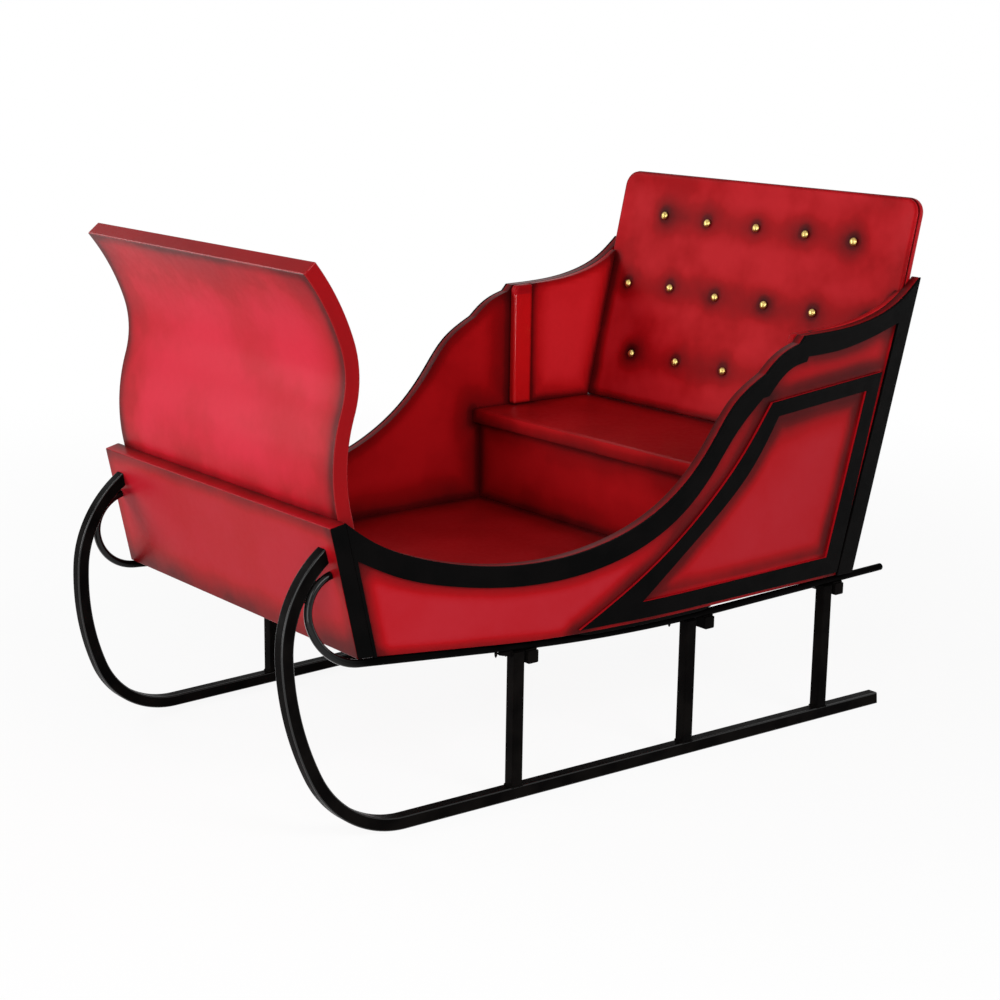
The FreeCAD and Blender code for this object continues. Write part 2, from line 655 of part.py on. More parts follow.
next_row = len(SIZES) + 2
for place in ("front", "mid", "rear"):
    post_x = size("post_%s_x" % place)
    edge_x = min((post_x - tube / 2, post_x + tube / 2), key=rod_z)
    sheet.set("A%d" % next_row, str(rod_z(edge_x)))
    sheet.setAlias("A%d" % next_row, "post_%s_top" % place)
    bar_x = size("bar_%s_x" % place)
    bar_top = min(rod_z(bar_x - tube / 2), rod_z(bar_x + tube / 2))
    floor_z = min(foot_z(bar_x - size("bearer_width") / 2, size("floor_lift")),
                  foot_z(bar_x + size("bearer_width") / 2, size("floor_lift")))
    bar_half = runner_y(bar_x, tube)
    bearer_half = half_at(bar_x + size("bearer_width") / 2) - wall - size("board_gap") - size("bearer_inset")
    for row, alias, value in ((1, "bar_%s_half" % place, bar_half), (2, "bearer_%s_half" % place, bearer_half),
                              (3, "bearer_%s_rise" % place, floor_z - bar_top)):
        sheet.set("A%d" % (next_row + row), str(value))
        sheet.setAlias("A%d" % (next_row + row), alias)
    next_row = next_row + 4
    doc.recompute()
    for hand, word in ((1, "left"), (-1, "right")):
        turn = -hand * size("runner_toe")
        centre_y = hand * (runner_y(post_x, tube) - tube / 2)
        corner = V(post_x, centre_y, tube) + FreeCAD.Rotation(V(0, 0, 1), turn).multVec(V(-tube / 2, -tube / 2, 0))
        block("post_%s_%s" % (place, word), ("sizes.tube", "sizes.tube", "sizes.post_%s_top - sizes.tube" % place),
              corner, turn)
    block("crossbar_" + place, ("sizes.tube", "2 * sizes.bar_%s_half" % place, "sizes.tube"),
          V(bar_x - tube / 2, -bar_half, bar_top - tube), 0)
    block("floor_bearer_" + place,
          ("sizes.bearer_width", "2 * sizes.bearer_%s_half" % place, "sizes.bearer_%s_rise" % place),
          V(bar_x - size("bearer_width") / 2, -bearer_half, bar_top), 0)

doc.recompute()

# Check of every object and every piece, then one file for each piece.
for obj in doc.Objects:
    for state in obj.State:
        if state in ("Invalid", "Error"):
            raise RuntimeError("%s is %s" % (obj.Name, state))
pieces = [obj for obj in doc.Objects
          if obj.TypeId in ("Part::Feature", "Part::Box", "PartDesign::Body")]
for piece in pieces:
    if piece.Shape.isNull() or not piece.Shape.isValid() or len(piece.Shape.Solids) != 1:
        raise RuntimeError("%s has no single good solid" % piece.Label)
os.makedirs("parts", exist_ok=True)
for piece in pieces:
    piece.Shape.exportStep("parts/%s.step" % piece.Label)
    box = piece.Shape.BoundBox
    print("%-20s %9.0f mm3  X %8.1f %8.1f  Y %8.1f %8.1f  Z %8.1f %8.1f" % (
        piece.Label, piece.Shape.Volume, box.XMin, box.XMax, box.YMin, box.YMax, box.ZMin, box.ZMax))
whole = Part.makeCompound([piece.Shape for piece in pieces]).BoundBox
print("pieces", len(pieces), "box", [round(v, 1) for v in (
    whole.XMin, whole.XMax, whole.YMin, whole.YMax, whole.ZMin, whole.ZMax)])
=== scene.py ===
from math import atan, atan2, cos, exp, hypot, pi, sin, sqrt, tan, tanh, radians as rad

import bmesh
import bpy
import numpy as np
from mathutils import Matrix, Vector, kdtree
from mathutils.bvhtree import BVHTree


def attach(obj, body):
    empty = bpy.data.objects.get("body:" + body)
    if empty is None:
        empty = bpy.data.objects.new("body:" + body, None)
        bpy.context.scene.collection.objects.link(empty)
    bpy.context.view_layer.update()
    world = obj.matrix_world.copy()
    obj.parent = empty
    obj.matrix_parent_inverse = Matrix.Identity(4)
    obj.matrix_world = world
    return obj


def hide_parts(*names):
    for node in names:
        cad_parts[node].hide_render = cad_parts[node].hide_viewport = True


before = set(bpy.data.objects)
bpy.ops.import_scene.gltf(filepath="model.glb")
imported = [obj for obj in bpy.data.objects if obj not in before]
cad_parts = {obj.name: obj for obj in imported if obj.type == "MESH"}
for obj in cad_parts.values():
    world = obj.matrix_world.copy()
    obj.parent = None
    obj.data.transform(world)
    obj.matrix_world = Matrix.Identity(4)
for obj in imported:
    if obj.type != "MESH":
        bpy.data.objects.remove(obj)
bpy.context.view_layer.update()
MM = 0.001
HANDS = ((1, "left"), (-1, "right"))

# Sizes of the frame in millimetres, angles in radians
HALF, NOSE_HALF, NOSE_X, TAPER_X, BLEND = 613, 524.2, 845, -27, 120
TRIM, PANEL = 8, 24.5
WALL = TRIM + PANEL
TAIL_X, LENGTH, BASE_Z, RISE = -957, 1787, 394, 793
BOARD_X, BOARD_Z, LEAN, BOARD = 885, 744, rad(12.47), 40
FLOOR_LIFT, FLOOR_T = 8, 20
FLOOR_TOP = FLOOR_LIFT + FLOOR_T
SEAT_Z, SEAT_T, SEAT_X = 704, 42, -371
RISER_X, RISER_T = -402, 18
NOSING = 14
STILE_REAR, STILE_FRONT, STILE_T, ARM_T = -577, -509, 28, 21
CAP_Z = 1040
BACK_X, BACK_LEAN, BACK_H, BACK_R = -815, rad(12.8), 709, 45
PAD_T, BACK_T = 13, 15
PAD_HALF, PAD_H = 577, 706
TUBE, ROD_R = 31.75, 9.75
TOE_ANGLE = rad(2.376)
RUN_HALF, TOE, RUN_LEAN = 578.55, tan(TOE_ANGLE), tan(rad(4.97))
# Light from all round, and the tolerance of cuts in metres
AMBIENT, TINY = 0.09, 1e-7


# Outlines

def spline(points, step=10):
    """Smooth curve through points, sampled about every step millimetres."""
    p = np.array(points, float)
    t = np.concatenate([[0], np.cumsum(np.linalg.norm(np.diff(p, axis=0), axis=1))])
    n = len(p)
    h = np.diff(t)
    a = np.eye(n)
    b = np.zeros((n, 2))
    for i in range(1, n - 1):
        a[i, i - 1:i + 2] = h[i - 1], 2 * (h[i - 1] + h[i]), h[i]
        b[i] = 3 * ((p[i + 1] - p[i]) / h[i] - (p[i] - p[i - 1]) / h[i - 1])
    c = np.linalg.solve(a, b)
    out = []
    for i in range(n - 1):
        k = max(2, int(h[i] / step))
        s = np.arange(k) / k * h[i]
        bb = (p[i + 1] - p[i]) / h[i] - h[i] * (2 * c[i] + c[i + 1]) / 3
        dd = (c[i + 1] - c[i]) / (3 * h[i])
        out += [p[i] + bb * x + c[i] * x ** 2 + dd * x ** 3 for x in s]
    out.append(p[-1])
    return [tuple(q) for q in out]


def at(share):
    """Station and height of a point given as shares of the side's length and height."""
    return TAIL_X + share[0] * LENGTH, BASE_Z + share[1] * RISE


OGEE = ((1.0215, 0.4759), (0.9682, 0.3844), (0.9085, 0.3227), (0.8449, 0.2813), (0.7793, 0.2557), (0.7129, 0.2479),
        (0.6467, 0.2602), (0.5822, 0.2947), (0.5216, 0.3530), (0.4674, 0.4368), (0.4218, 0.5466), (0.3789, 0.6622),
        (0.3236, 0.7380))
LOBE = ((0.3236, 0.7380), (0.3037, 0.7758), (0.2807, 0.8049), (0.2557, 0.8235))
SHOULDER = ((0.2461, 0.8475), (0.1941, 0.8510), (0.1412, 0.8608), (0.0898, 0.8842), (0.0419, 0.9284), (0, 1))
TRIM_OGEE = ((0.9918, 0.3360), (0.9306, 0.2680), (0.8656, 0.2238), (0.7984, 0.1957), (0.7302, 0.1821),
        (0.6619, 0.1867), (0.5945, 0.2129), (0.5301, 0.2634), (0.4716, 0.3402), (0.4220, 0.4446),
        (0.3779, 0.5631), (0.3275, 0.6626))
TRIM_LOBE = ((0.3155, 0.6656), (0.2945, 0.7128), (0.2697, 0.7480), (0.2406, 0.7616))
TRIM_SHOULDER = ((0.2378, 0.7781), (0.1725, 0.7855), (0.1082, 0.8122), (0.0453, 0.8525))
FRAME_CURVE = ((0.6509, 0.0124), (0.5736, 0.1114), (0.4983, 0.2214), (0.4275, 0.3450), (0.3635, 0.4847),
        (0.3086, 0.6431))
FRAME_TAIL = ((0.0748, 0.6935), (0.1518, 0.0214))
HOLE_CURVE = ((0.5448, 0.0689), (0.4769, 0.1884), (0.4074, 0.3061), (0.3438, 0.4368), (0.2935, 0.5949))
HOLE_TAIL = ((0.1086, 0.6350), (0.1770, 0.0830))


def run(shares):
    return spline([at(s) for s in shares])


TAIL_FOOT, FOOT_BEND, NOSE_FOOT, FOOT_R = (-748.6, BASE_Z + 7.6), (297, BASE_Z - 1.35), (816, BASE_Z + 37.5), 3170
# Where the side ends behind the front board, and where its trim meets the foot: at the nose and the tail
END_X, LEG_X, LEG_W, HEEL_X, HEEL_W = 774.9, 770, 9, -690, 61
# Where the painted shade along the foot ends
NEAR_END = 775


def foot(x, lift=0):
    """Line of the body's foot: two straight runs and a soft bend."""
    rear = atan2(FOOT_BEND[1] - TAIL_FOOT[1], FOOT_BEND[0] - TAIL_FOOT[0])
    front = atan2(NOSE_FOOT[1] - FOOT_BEND[1], NOSE_FOOT[0] - FOOT_BEND[0])
    reach = FOOT_R * tan((front - rear) / 2)
    start = FOOT_BEND[0] - reach * cos(rear), FOOT_BEND[1] - reach * sin(rear)
    if x < start[0]:
        z = FOOT_BEND[1] + (x - FOOT_BEND[0]) * tan(rear)
    elif x > FOOT_BEND[0] + reach * cos(front):
        z = FOOT_BEND[1] + (x - FOOT_BEND[0]) * tan(front)
    else:
        cx, cz = start[0] - sin(rear) * FOOT_R, start[1] + cos(rear) * FOOT_R
        z = cz - sqrt(FOOT_R ** 2 - (x - cx) ** 2)
    return z + lift


def board_x(z, back=0):
    """Station of the front board's face at height z, moved back square to it."""
    return BOARD_X - (BOARD_Z - z) * tan(LEAN) - back / cos(LEAN)


def tail_x(z, inward=0):
    """Station of the side's tail edge at height z."""
    slope = (TAIL_FOOT[0] - TAIL_X) / (TAIL_FOOT[1] - BASE_Z - RISE)
    return TAIL_FOOT[0] + (z - TAIL_FOOT[1]) * slope + inward


def half(x, inward=0):
    """Distance of the side's outer line from the middle at station x."""
    angle = atan((HALF - NOSE_HALF) / (NOSE_X - TAPER_X))
    radius = BLEND / tan(angle / 2)
    start = TAPER_X - BLEND
    end = start + radius * sin(angle)
    if x <= start:
        return HALF - inward
    if x <= end:
        return HALF - inward - radius + sqrt(radius ** 2 - (x - start) ** 2)
    return HALF - inward - radius * (1 - cos(angle)) - (x - end) * tan(angle)


def foot_run(x0, x1, lift=0):
    """The foot line from one station to another, in steps of about 40 mm."""
    n = max(2, int(abs(x1 - x0) / 40))
    return [(x0 + (x1 - x0) * i / n, foot(x0 + (x1 - x0) * i / n, lift)) for i in range(n + 1)]


def cut_front(points, back=BOARD):
    """Keep the part of a line behind the front board's back, ending on it."""
    out = []
    for a, b in zip(points, points[1:]):
        da = a[0] - board_x(a[1], back)
        db = b[0] - board_x(b[1], back)
        if da * db < 0:
            k = da / (da - db)
            out.append((a[0] + (b[0] - a[0]) * k, a[1] + (b[1] - a[1]) * k))
        if db <= 0:
            out.append(b)
    return out


# Meshes

def link(data, name):
    """A new object of the scene with this data."""
    obj = bpy.data.objects.new(name, data)
    bpy.context.scene.collection.objects.link(obj)
    return obj


def made_of(bm, name):
    """An object from a finished bmesh, which is freed."""
    mesh = bpy.data.meshes.new(name)
    bm.to_mesh(mesh)
    bm.free()
    return link(mesh, name)


def smooth(bm):
    for f in bm.faces:
        f.smooth = True


def weighted(obj):
    mod = obj.modifiers.new("normals", "WEIGHTED_NORMAL")
    mod.mode = "FACE_AREA"
    mod.weight = 100
    mod.keep_sharp = True


# Numbers of the faces that rounding made, for each board
arrises = {}


def board(name, loops, thick, place, soft=2.5, cell=14, segments=3, cells=None):
    """Board from closed outlines in its own plane, rounded, gridded and then bent into place."""
    bm = bmesh.new()
    for loop in loops:
        verts = [bm.verts.new((u * MM, v * MM, 0)) for u, v in loop]
        for a, b in zip(verts, verts[1:] + verts[:1]):
            bm.edges.new((a, b))
    bmesh.ops.triangle_fill(bm, use_beauty=True, use_dissolve=False, edges=bm.edges[:])
    bmesh.ops.recalc_face_normals(bm, faces=bm.faces[:])
    if bm.faces[:] and bm.faces[0].normal.z > 0:
        bmesh.ops.reverse_faces(bm, faces=bm.faces[:])
    made = bmesh.ops.extrude_face_region(bm, geom=bm.faces[:])
    verts = [g for g in made["geom"] if isinstance(g, bmesh.types.BMVert)]
    bmesh.ops.translate(bm, verts=verts, vec=(0, 0, thick * MM))
    bmesh.ops.recalc_face_normals(bm, faces=bm.faces[:])
    bmesh.ops.dissolve_limit(bm, angle_limit=rad(0.2), verts=bm.verts[:], edges=bm.edges[:])
    sharp = [e for e in bm.edges if len(e.link_faces) == 2 and e.calc_face_angle(0) > rad(25)]
    if soft:
        bmesh.ops.bevel(bm, geom=sharp, offset=soft * MM, offset_type="OFFSET", segments=segments, profile=0.5,
                affect="EDGES", clamp_overlap=True, material=1)
    # Cut a grid so that the board can bend
    low = [min(v.co[i] for v in bm.verts) for i in (0, 1)]
    high = [max(v.co[i] for v in bm.verts) for i in (0, 1)]
    for axis in (0, 1):
        step = (cells[axis] if cells else cell) * MM
        if not step:
            continue
        n = int((high[axis] - low[axis]) / step)
        for i in range(1, n + 1):
            co = [0, 0, 0]
            co[axis] = low[axis] + (high[axis] - low[axis]) * i / (n + 1)
            no = [0, 0, 0]
            no[axis] = 1
            bmesh.ops.bisect_plane(bm, geom=bm.verts[:] + bm.edges[:] + bm.faces[:], dist=TINY,
                    plane_co=co, plane_no=no)
    flat = bm.verts.layers.float_vector.new("flat")
    for v in bm.verts:
        v[flat] = v.co / MM
        v.co = Vector(place(*(v.co / MM))) * MM
    bmesh.ops.recalc_face_normals(bm, faces=bm.faces[:])
    bm.faces.index_update()
    smooth(bm)
    arrises[name] = {f.index for f in bm.faces if f.material_index == 1}
    for f in bm.faces:
        f.material_index = 0
    return made_of(bm, name)


def densify(line, step=6):
    """The line with a point at least every step millimetres."""
    out = []
    for a, b in zip(line, line[1:]):
        a, b = Vector(a), Vector(b)
        n = max(1, int((b - a).length / step))
        out += [a + (b - a) * i / n for i in range(n)]
    out.append(Vector(line[-1]))
    return out


def fall(t):
    """Smooth fall from 1 at 0 to 0 at 1."""
    t = np.clip(t, 0, 1)
    return 1 - t * t * (3 - 2 * t)


def spray(obj, groups, keep=None):
    """How much dark tone each point has, dark spray and painted shade in one, from groups of lines with their reach,
    depth and bare margin in mm.
    """
    spots = np.empty(len(obj.data.vertices) * 3)
    obj.data.vertices.foreach_get("co", spots)
    spots = spots.reshape(-1, 3) / MM
    left = np.ones(len(spots))
    for lines, reach, depth, bare in groups:
        pts = [q for line in lines for q in densify(line)]
        tree = kdtree.KDTree(len(pts))
        for i, q in enumerate(pts):
            tree.insert(q, i)
        tree.balance()
        d = np.array([tree.find(q)[2] for q in spots])
        dark = fall((d - bare) / reach)
        if bare:
            dark = dark * (1 - fall(d / bare))
        left *= 1 - depth * dark
    amount = 1 - left
    if keep:
        flat = obj.data.attributes["flat"].data
        amount = np.array([a if keep(flat[i].vector) else 0 for i, a in enumerate(amount)])
    layer = obj.data.attributes.get("spray")
    if layer:
        old = np.empty(len(amount))
        layer.data.foreach_get("value", old)
        amount = np.maximum(amount, old)
    else:
        layer = obj.data.attributes.new("spray", "FLOAT", "POINT")
    layer.data.foreach_set("value", amount)


def dab_painted_shade(obj, test, amount):
    """A given amount of painted shade on the points the test picks by their place in the flat board."""
    marks = obj.data.attributes
    layer = marks.get("spray") or marks.new("spray", "FLOAT", "POINT")
    for value, q in zip(layer.data, marks["flat"].data):
        if test(q.vector):
            value.value = max(value.value, amount)


def on_side(points, inward, hand):
    return [(x, hand * half(x, inward), z) for x, z in points]


def box_lines(loop, place, ws):
    """A board's outline, closed and put in place at each of the depths."""
    return [[place(u, v, w) for u, v in list(loop) + [loop[0]]] for w in ws]


# Materials

def lin(text):
    """Linear colour from an sRGB hex value."""
    vals = [int(text[i:i + 2], 16) / 255 for i in (1, 3, 5)]
    return tuple(v / 12.92 if v <= 0.04045 else ((v + 0.055) / 1.055) ** 2.4 for v in vals) + (1,)


NOISE, MATH, MIX, SPAN = "ShaderNodeTexNoise", "ShaderNodeMath", "ShaderNodeMix", "ShaderNodeMapRange"
BUMP, VECTOR, RANDOM = "ShaderNodeBump", "ShaderNodeVectorMath", "FunctionNodeRandomValue"
SHADER, OUTPUT = "ShaderNodeBsdfPrincipled", "ShaderNodeOutputMaterial"
SOFT = {"interpolation_type": "SMOOTHSTEP"}


def node(tree, kind, inputs=(), **settings):
    """Add a node with its settings and links.

    Inputs go by name or by place. Each takes a value, a socket, or a node, whose first output in use is linked.
    """
    made = tree.nodes.new(kind)
    for key, value in settings.items():
        setattr(made, key, value)
    for key, value in inputs.items() if isinstance(inputs, dict) else enumerate(inputs):
        if isinstance(value, bpy.types.Node):
            value = next(socket for socket in value.outputs if socket.enabled)
        if isinstance(value, bpy.types.NodeSocket):
            tree.links.new(value, made.inputs[key])
        else:
            made.inputs[key].default_value = value
    return made


def begin(name):
    """A new material, its empty tree, and the Object coordinates that its patterns read."""
    mat = bpy.data.materials.new(name)
    mat.use_nodes = True
    mat.node_tree.nodes.clear()
    return mat, mat.node_tree, node(mat.node_tree, "ShaderNodeTexCoord").outputs["Object"]


def patches(mm):
    """Noise scale that makes patches about this many millimetres across."""
    return 1000 / mm


def lacquer(name, clear, base, rough=0.34, wave=1.0, gloss=0.05, cloud=0.06):
    """Lacquer sprayed on plywood in two tones: deep even red that falls off softly to near black along edges and in the
    corners, as dark spray and painted shade.

    The spray attribute says how much dark tone a point has, dark lacquer and painted shade in one. Cloud is
    the unevenness of the hand work, in patches of 220 and 17 mm. The waves of 90 mm are the board's own, drawn so
    that long highlights waver. Orange peel is 1.4 mm across, finer than a pixel of the render, and only softens
    the gloss.
    """
    mat, tree, where = begin(name)
    noise = {}
    for label, size, detail, rugged in (("fleck", 17, 4, 0.6), ("drift", 170, 2, 0.5), ("cloud", 220, 3, 0.55),
            ("peel", 1.4, 2, 0.5), ("wave", 90, 1, 0.5)):
        noise[label] = node(tree, NOISE, {"Vector": where, "Scale": patches(size), "Detail": detail,
                "Roughness": rugged})
    spot = node(tree, "ShaderNodeAttribute", attribute_name="spray").outputs["Fac"]
    drift = node(tree, SPAN, (noise["drift"], 0.3, 0.7, 0.9, 1.1), **SOFT)
    amount = node(tree, MATH, (spot, drift), operation="MULTIPLY", use_clamp=True)
    for label, low, high, most in (("fleck", 0.3, 0.75, 0.02), ("cloud", 0.38, 0.68, cloud)):
        extra = node(tree, SPAN, (noise[label], low, high, 0, most), **SOFT)
        amount = node(tree, MATH, (amount, extra), operation="ADD", use_clamp=True)
    tone = lin(clear)
    # The two darker tones are those of the dark spray and of the painted shade in corners and joints
    for low, high, darker in ((0, 0.2, base), (0.16, 0.55, "#660b0e"), (0.5, 0.95, "#260506")):
        share = node(tree, SPAN, (amount, low, high))
        tone = node(tree, MIX, {0: share, 6: tone, 7: lin(darker)}, data_type="RGBA")
    peel = node(tree, MATH, (noise["peel"], 0.02), operation="MULTIPLY")
    height = node(tree, MATH, (noise["wave"], wave, peel), operation="MULTIPLY_ADD")
    bump = node(tree, BUMP, {"Height": height, "Strength": 0.15, "Distance": 0.001})
    dull = node(tree, SPAN, (noise["fleck"], 0.3, 0.7, rough - 0.02, rough + 0.03), **SOFT)
    shader = node(tree, SHADER, {"Base Color": tone, "Normal": bump, "Roughness": dull, "IOR": 1.5,
            "Specular IOR Level": gloss})
    node(tree, OUTPUT, {"Surface": shader})
    return mat


def black_paint(name, rough, lump, depth, gloss, tone="#030303", shine=None):
    """Black enamel put on by brush: near black, its faint highlights broken by brush lumps of lump mm.

    Worn patches are 25 mm and faded ones 80 mm across. Shine is the gloss that the bent front ends rise to.
    """
    mat, tree, where = begin(name)
    faded, worn, lumps = [node(tree, NOISE, {"Vector": where, "Scale": patches(size), "Detail": detail,
            "Roughness": rugged})
            for size, detail, rugged in ((80, 3, 0.5), (25, 3, 0.5), (lump, 4, 0.6))]
    share = node(tree, SPAN, (faded, 0.3, 0.7), **SOFT)
    colour = node(tree, MIX, {0: share, 6: lin(tone), 7: lin("#070606")}, data_type="RGBA")
    bump = node(tree, BUMP, {"Height": lumps, "Strength": 0.35, "Distance": depth})
    dull = node(tree, SPAN, (worn, 0.3, 0.7, rough - 0.06, rough + 0.08), **SOFT)
    level = gloss
    if shine:
        place = node(tree, "ShaderNodeSeparateXYZ", (where,))
        level = node(tree, SPAN, (place, 0.78, 0.92, gloss, shine), **SOFT)
    shader = node(tree, SHADER, {"Base Color": colour, "Normal": bump, "Roughness": dull, "IOR": 1.45,
            "Specular IOR Level": level})
    node(tree, OUTPUT, {"Surface": shader})
    return mat


def brass(name):
    """Pressed brass, lightly tarnished: warm yellow domes with duller patches of 4 mm and dents of 2 mm."""
    mat, tree, where = begin(name)
    patch, fine = [node(tree, NOISE, {"Vector": where, "Scale": patches(size), "Detail": detail})
            for size, detail in ((4, 3), (2, 2))]
    share = node(tree, SPAN, (patch, 0.35, 0.7), **SOFT)
    colour = node(tree, MIX, {0: share, 6: lin("#d9c27a"), 7: lin("#9c8142")}, data_type="RGBA")
    bump = node(tree, BUMP, {"Height": fine, "Strength": 0.2, "Distance": 0.0003})
    dull = node(tree, SPAN, (patch, 0.3, 0.7, 0.3, 0.45), **SOFT)
    shader = node(tree, SHADER, {"Base Color": colour, "Normal": bump, "Roughness": dull, "Metallic": 1.0})
    node(tree, OUTPUT, {"Surface": shader})
    return mat


# Satin lacquer, sprayed: the reds are lit and shaded copies of one red, each painted lighter, darker or pinker for the
# light and sheen its board takes, and each with its own dark spray tone
RED = lacquer("red_lacquer_side", "#ab212b", "#a50d15")
# The dash's red is painted lighter and pinker, as the light and sheen on its face
RED_DASH_PAINTED_SHEEN = lacquer("red_lacquer_dash_painted_sheen", "#c81f36", "#b0111f", gloss=0.04, cloud=0.14)
RED_BOARD = lacquer("red_lacquer_front", "#ad1a28", "#a50d15", gloss=0.045, cloud=0.12)
RED_DEEP = lacquer("red_lacquer_inside", "#b8141a", "#9c0c11", cloud=0.12)
RED_TOP = lacquer("red_lacquer_flat", "#a61519", "#900b0e", gloss=0.07, cloud=0.1)
# The arms' red is painted lighter, as the light that falls on them
RED_ARM_PAINTED_LIGHT = lacquer("red_lacquer_arm_painted_light", "#d8262e", "#bf151b")
# Lacquer on plywood edges: flatter and a little darker than the faces; on the boards' upper edges the darker tone is
# painted shade, for the little light that falls on top
RED_RIM_PAINTED_SHADE = lacquer("red_lacquer_rim_painted_shade", "#b5141d", "#9a0d13", gloss=0.03)
RED_EDGE = lacquer("red_lacquer_board_edge", "#aa1019", "#9a0b12")
# Lacquer sprayed over a rounded arris: a thin brighter line along the board
RED_ARRIS = lacquer("red_lacquer_arris", "#b81925", "#a51018", rough=0.26, gloss=0.14)
# Lacquer polished on the posts: tight clear highlights on the rounded corners, and a red painted lighter as the light
# on their faces
RED_STILE_PAINTED_LIGHT = lacquer("red_polished_lacquer_post_painted_light", "#cf1519", "#a80e12", rough=0.14, wave=0.4, gloss=0.5)
# Satin vinyl, calendered, over thin wadding, with dark spray and painted shade like the wood: soft, wide, dim
# highlights
RED_PAD = lacquer("red_satin_vinyl", "#be1e26", "#a80e15", rough=0.36, wave=0.6, gloss=0.035, cloud=0.2)
# Matt enamel brushed on wooden trims: flat black that hardly shines
BLACK = black_paint("black_matt_enamel_trim", 0.5, 14, 0.0006, 0.02)
# Enamel brushed on drawn steel tube: black flanks, a thin bright line on the drawn corners
STEEL = black_paint("black_enamelled_steel", 0.3, 9, 0.0004, 0.007, tone="#100e0d")
STEEL_ARRIS = black_paint("black_enamelled_steel_arris", 0.13, 9, 0.0001, 0.36)
# Enamel brushed on round rod: black, with clear highlights where it bends up at the front
STEEL_ROD = black_paint("black_enamelled_steel_rod", 0.1, 9, 0.0001, 0.007, shine=0.22)
# Black paint brushed on sawn timber: rougher and quite dull
BEARER = black_paint("black_painted_timber", 0.6, 25, 0.0012, 0.02)
BRASS = brass("brass_button_studs")


def give(obj, slot, *mats, nodes=()):
    """Give a finished piece its materials, body, replaced nodes and even normals. The slot is not used."""
    for m in mats:
        obj.data.materials.append(m)
    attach(obj, "root")
    if nodes:
        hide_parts(*nodes)
    weighted(obj)
    return obj


def choose(obj, test, arris=None):
    """Give each face the material whose number the test returns for its middle and normal."""
    flat = obj.data.attributes["flat"].data
    for p in obj.data.polygons:
        mid = np.mean([flat[i].vector for i in p.vertices], axis=0)
        p.material_index = arris if arris and p.index in arrises[obj.name] else test(mid, p.normal)


# Sides, trims and quarter frames
top_line = cut_front(run(OGEE)) + run(LOBE)[1:] + run(SHOULDER)
trim_low = run(TRIM_OGEE) + run(TRIM_LOBE) + run(TRIM_SHOULDER)
side_loop = top_line + foot_run(TAIL_FOOT[0], board_x(foot(NOSE_FOOT[0]), BOARD))
side_loop[-1] = (board_x(foot(END_X), BOARD), foot(END_X))
heel = (tail_x(foot(HEEL_X)) + HEEL_W, foot(HEEL_X))
nose_foot = (board_x(foot(END_X), BOARD) - LEG_W, foot(LEG_X))
band_loop = top_line + [TAIL_FOOT, heel] + trim_low[::-1] + [nose_foot, side_loop[-1]]
frame_loop = run(FRAME_CURVE) + [at(s) for s in FRAME_TAIL]
hole_loop = run(HOLE_CURVE) + [at(s) for s in HOLE_TAIL]

